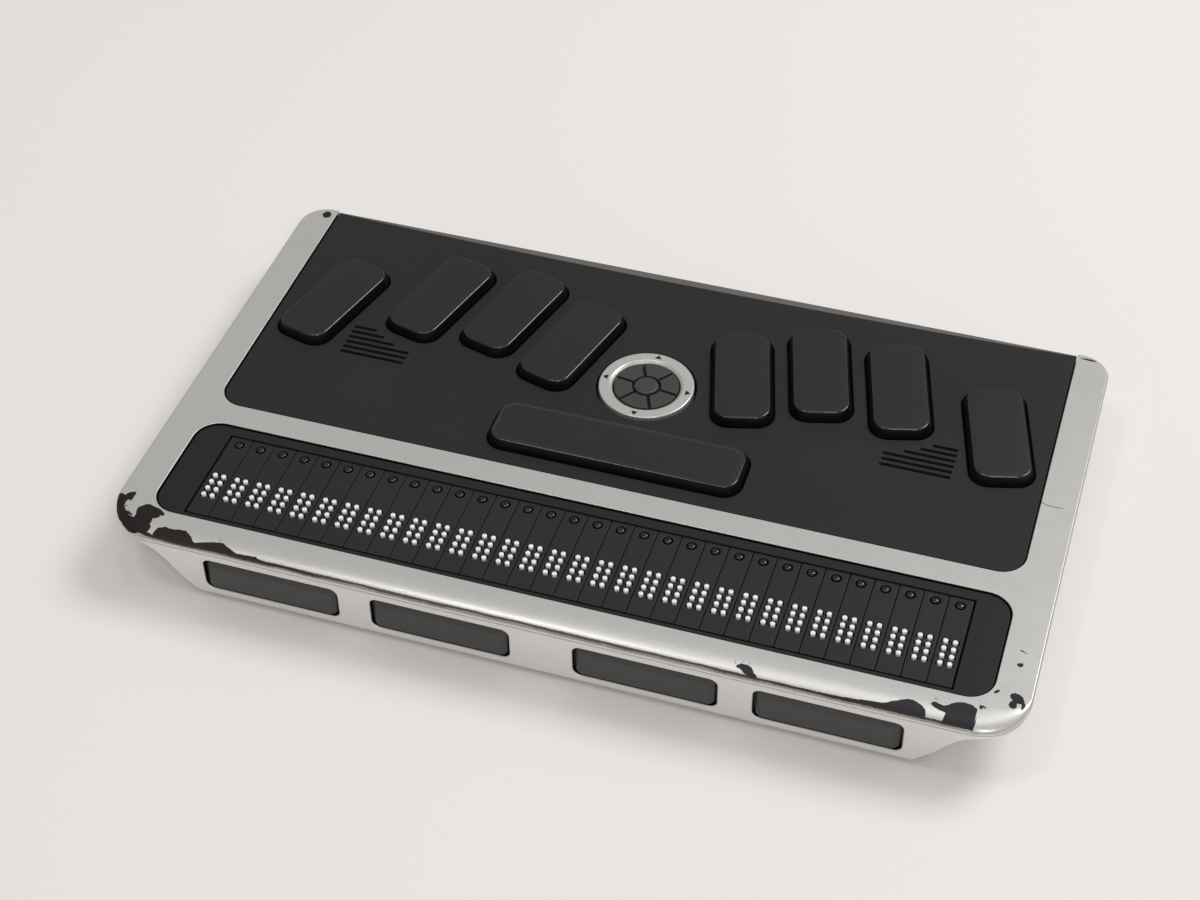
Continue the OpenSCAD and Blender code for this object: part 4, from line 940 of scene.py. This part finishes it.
def dome(name, node, base, r, h, turn=0):
    """Hollow rubber dome, upright or turned towards the front."""
    skin_t, top = min(0.5, h / 3), r * 0.55
    bm = bmesh.new()
    lathe(bm, [(0.05, h), (top, h), (top, h - skin_t), (r, 0), (r - skin_t, 0), (top - skin_t, h - skin_t),
               (0.05, h - skin_t)], steps=32)
    bm.transform(Matrix.Translation(Vector(base) * MM) @ Matrix.Rotation(math.radians(turn), 4, "X"))
    piece = dress(shown(name, mesh_of(name, bm, [RUBBER], 50.0)), "case", "black_rubber", node, weighted=False)
    tuple(c * MM for c in base)
    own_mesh(piece)


def build_domes():
    seats = {f"dot_key_{n}": (x, y) for n, (x, y, _) in KEY_SEATS.items()}
    seats["space_bar"] = (0.0, SPACE_Y)
    for key, (x, y) in seats.items():
        dome(f"{key}_dome", "key_domes", (x, y, BOARD_Z), r=4.0, h=2.55)
    for n, x in THUMB_X.items():
        dome(f"thumb_key_{n}_dome", "thumb_domes", (x, THUMB_BOARD_Y, THUMB_Z),
             r=4.0, h=2.2, turn=90)
    corner = DIAL_DOME_R * math.sqrt(0.5)
    for n, (sx, sy) in enumerate(((1, 1), (-1, 1), (-1, -1), (1, -1)), 1):
        dome(f"dial_dome_{n}", "dial_domes", (sx * corner, DIAL_Y + sy * corner, BOARD_Z),
             r=2.0, h=1.3)
    dome("select_dome", "dial_domes", (0, DIAL_Y, BOARD_Z + 0.8), r=2.0, h=1.0)


def build_reeds():
    """Strips under the pins: each goes from the rear board to its pin."""
    rear, half, thick, past_pin, aside, sections = 14.1, 1.05, 0.58, 0.8, 1.1, 10
    for n in range(1, 9):
        y, z0 = dot_place(n)[1], reed_height(n)
        z1 = z0 + thick
        bm = bmesh.new()
        closed(bm, [[(-half, at, z0), (half, at, z0), (half, at, z1), (-half, at, z1)]
                    for at in (rear + (y - past_pin - rear) * i / sections for i in range(sections + 1))])
        reed = shown("reed_pattern", mesh_of("reed_pattern", bm, [BRASS]))
        first = (FIRST_CELL + DOT_COLUMN[n - 1] * aside, 0, 0)
        reeds = row_of(f"bending_reeds_{n}", reed, CELLS, first, (CELL_PITCH, 0, 0), BRASS)
        bpy.data.objects.remove(reed)
        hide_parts("piezo_reeds")
        z0 * MM
        y * MM
        z0 * MM
        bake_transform(reeds)


build_top_frame()
build_lower_shell()
build_keyboard_panel()
build_display_panel()
build_cell_caps()
build_pins()
build_routing_buttons()
build_keys()
build_thumb_keys()
build_dial()
build_rear_cover()
build_feet()
build_domes()
build_reeds()

# CAD nodes that stay, each with its own finish
KEPT = {"battery_cover": SILVER_HULL_LIT, "case_screws": STEEL, "battery_pack": WRAP, "main_board": BOARD,
        "radio_board": BOARD, "keyboard_board": BOARD, "thumb_key_board": BOARD, "display_board": BOARD,
        "speakers": SOCKET_BLACK, "cell_frames": CELL, "usb_sockets": TIN, "card_slot": TIN, "audio_jack": SOCKET_BLACK,
        "power_inlet": SOCKET_BLACK, "power_switch": SOCKET_BLACK, "dial_post": CELL, "rocker_plate": CELL}
for node, material in KEPT.items():
    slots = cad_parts[node].data.materials
    slots.clear()
    slots.append(material)

# Stage


def build_floor():
    bm = bmesh.new()
    bmesh.ops.create_grid(bm, x_segments=1, y_segments=1, size=6.0)
    finish = Finish("floor_paper", roughness=0.9)
    finish.set(base_color=finish.mix(finish.noise(3.0, 2.0), (0.81, 0.792, 0.772), (0.84, 0.822, 0.805)))
    floor = shown("floor", mesh_of("floor", bm, [finish.material]))


def soft_light(name, place, aim, size, power):
    lamp = bpy.data.lights.new(name, "AREA")
    lamp.shape, lamp.size, lamp.energy = "DISK", size, power
    light = bpy.data.objects.new(name, lamp)
    light.location = place
    light.rotation_mode = "QUATERNION"
    light.rotation_quaternion = (Vector(aim) - Vector(place)).to_track_quat("-Z", "Y")
    bpy.context.scene.collection.objects.link(light)


def build_stage():
    build_floor()
    soft_light("key_right", (0.80, 0.88, 1.43), (0, 0, 0), 0.9, 15.4)
    soft_light("overhead", (0.05, 0.10, 1.05), (0.05, -0.05, 0), 0.4, 0.75)
    soft_light("left_glint", (-0.25, -0.15, 1.0), (-0.05, -0.02, 0), 0.2, 0.9)
    soft_light("front_fill", (0.60, -1.00, 1.20), (0, 0, 0), 0.4, 4.2)
    world = bpy.data.worlds.new("studio")
    world.use_nodes = True
    sky = world.node_tree.nodes["Background"]
    sky.inputs["Color"].default_value = (1.0, 0.982, 0.955, 1)
    sky.inputs["Strength"].default_value = 0.41
    bpy.context.scene.world = world
    lens = bpy.data.cameras.new("camera")
    lens.lens, lens.sensor_width, lens.sensor_fit = 66.52, 36.0, "HORIZONTAL"
    lens.clip_start, lens.clip_end = 0.01, 20.0
    camera = bpy.data.objects.new("camera", lens)
    bpy.context.scene.collection.objects.link(camera)
    ahead = Vector((-0.22757, 0.67997, -0.69703)).normalized()
    right = Vector((0.95208, 0.30560, -0.01272)).normalized()
    up = right.cross(ahead)
    turn = Matrix((right, up, -ahead)).transposed()
    camera.matrix_world = Matrix.Translation(Vector((0.13182, -0.41330, 0.43751))) @ turn.to_4x4()
    bpy.context.scene.camera = camera
    bpy.context.scene.view_settings.view_transform = "Standard"


build_stage()
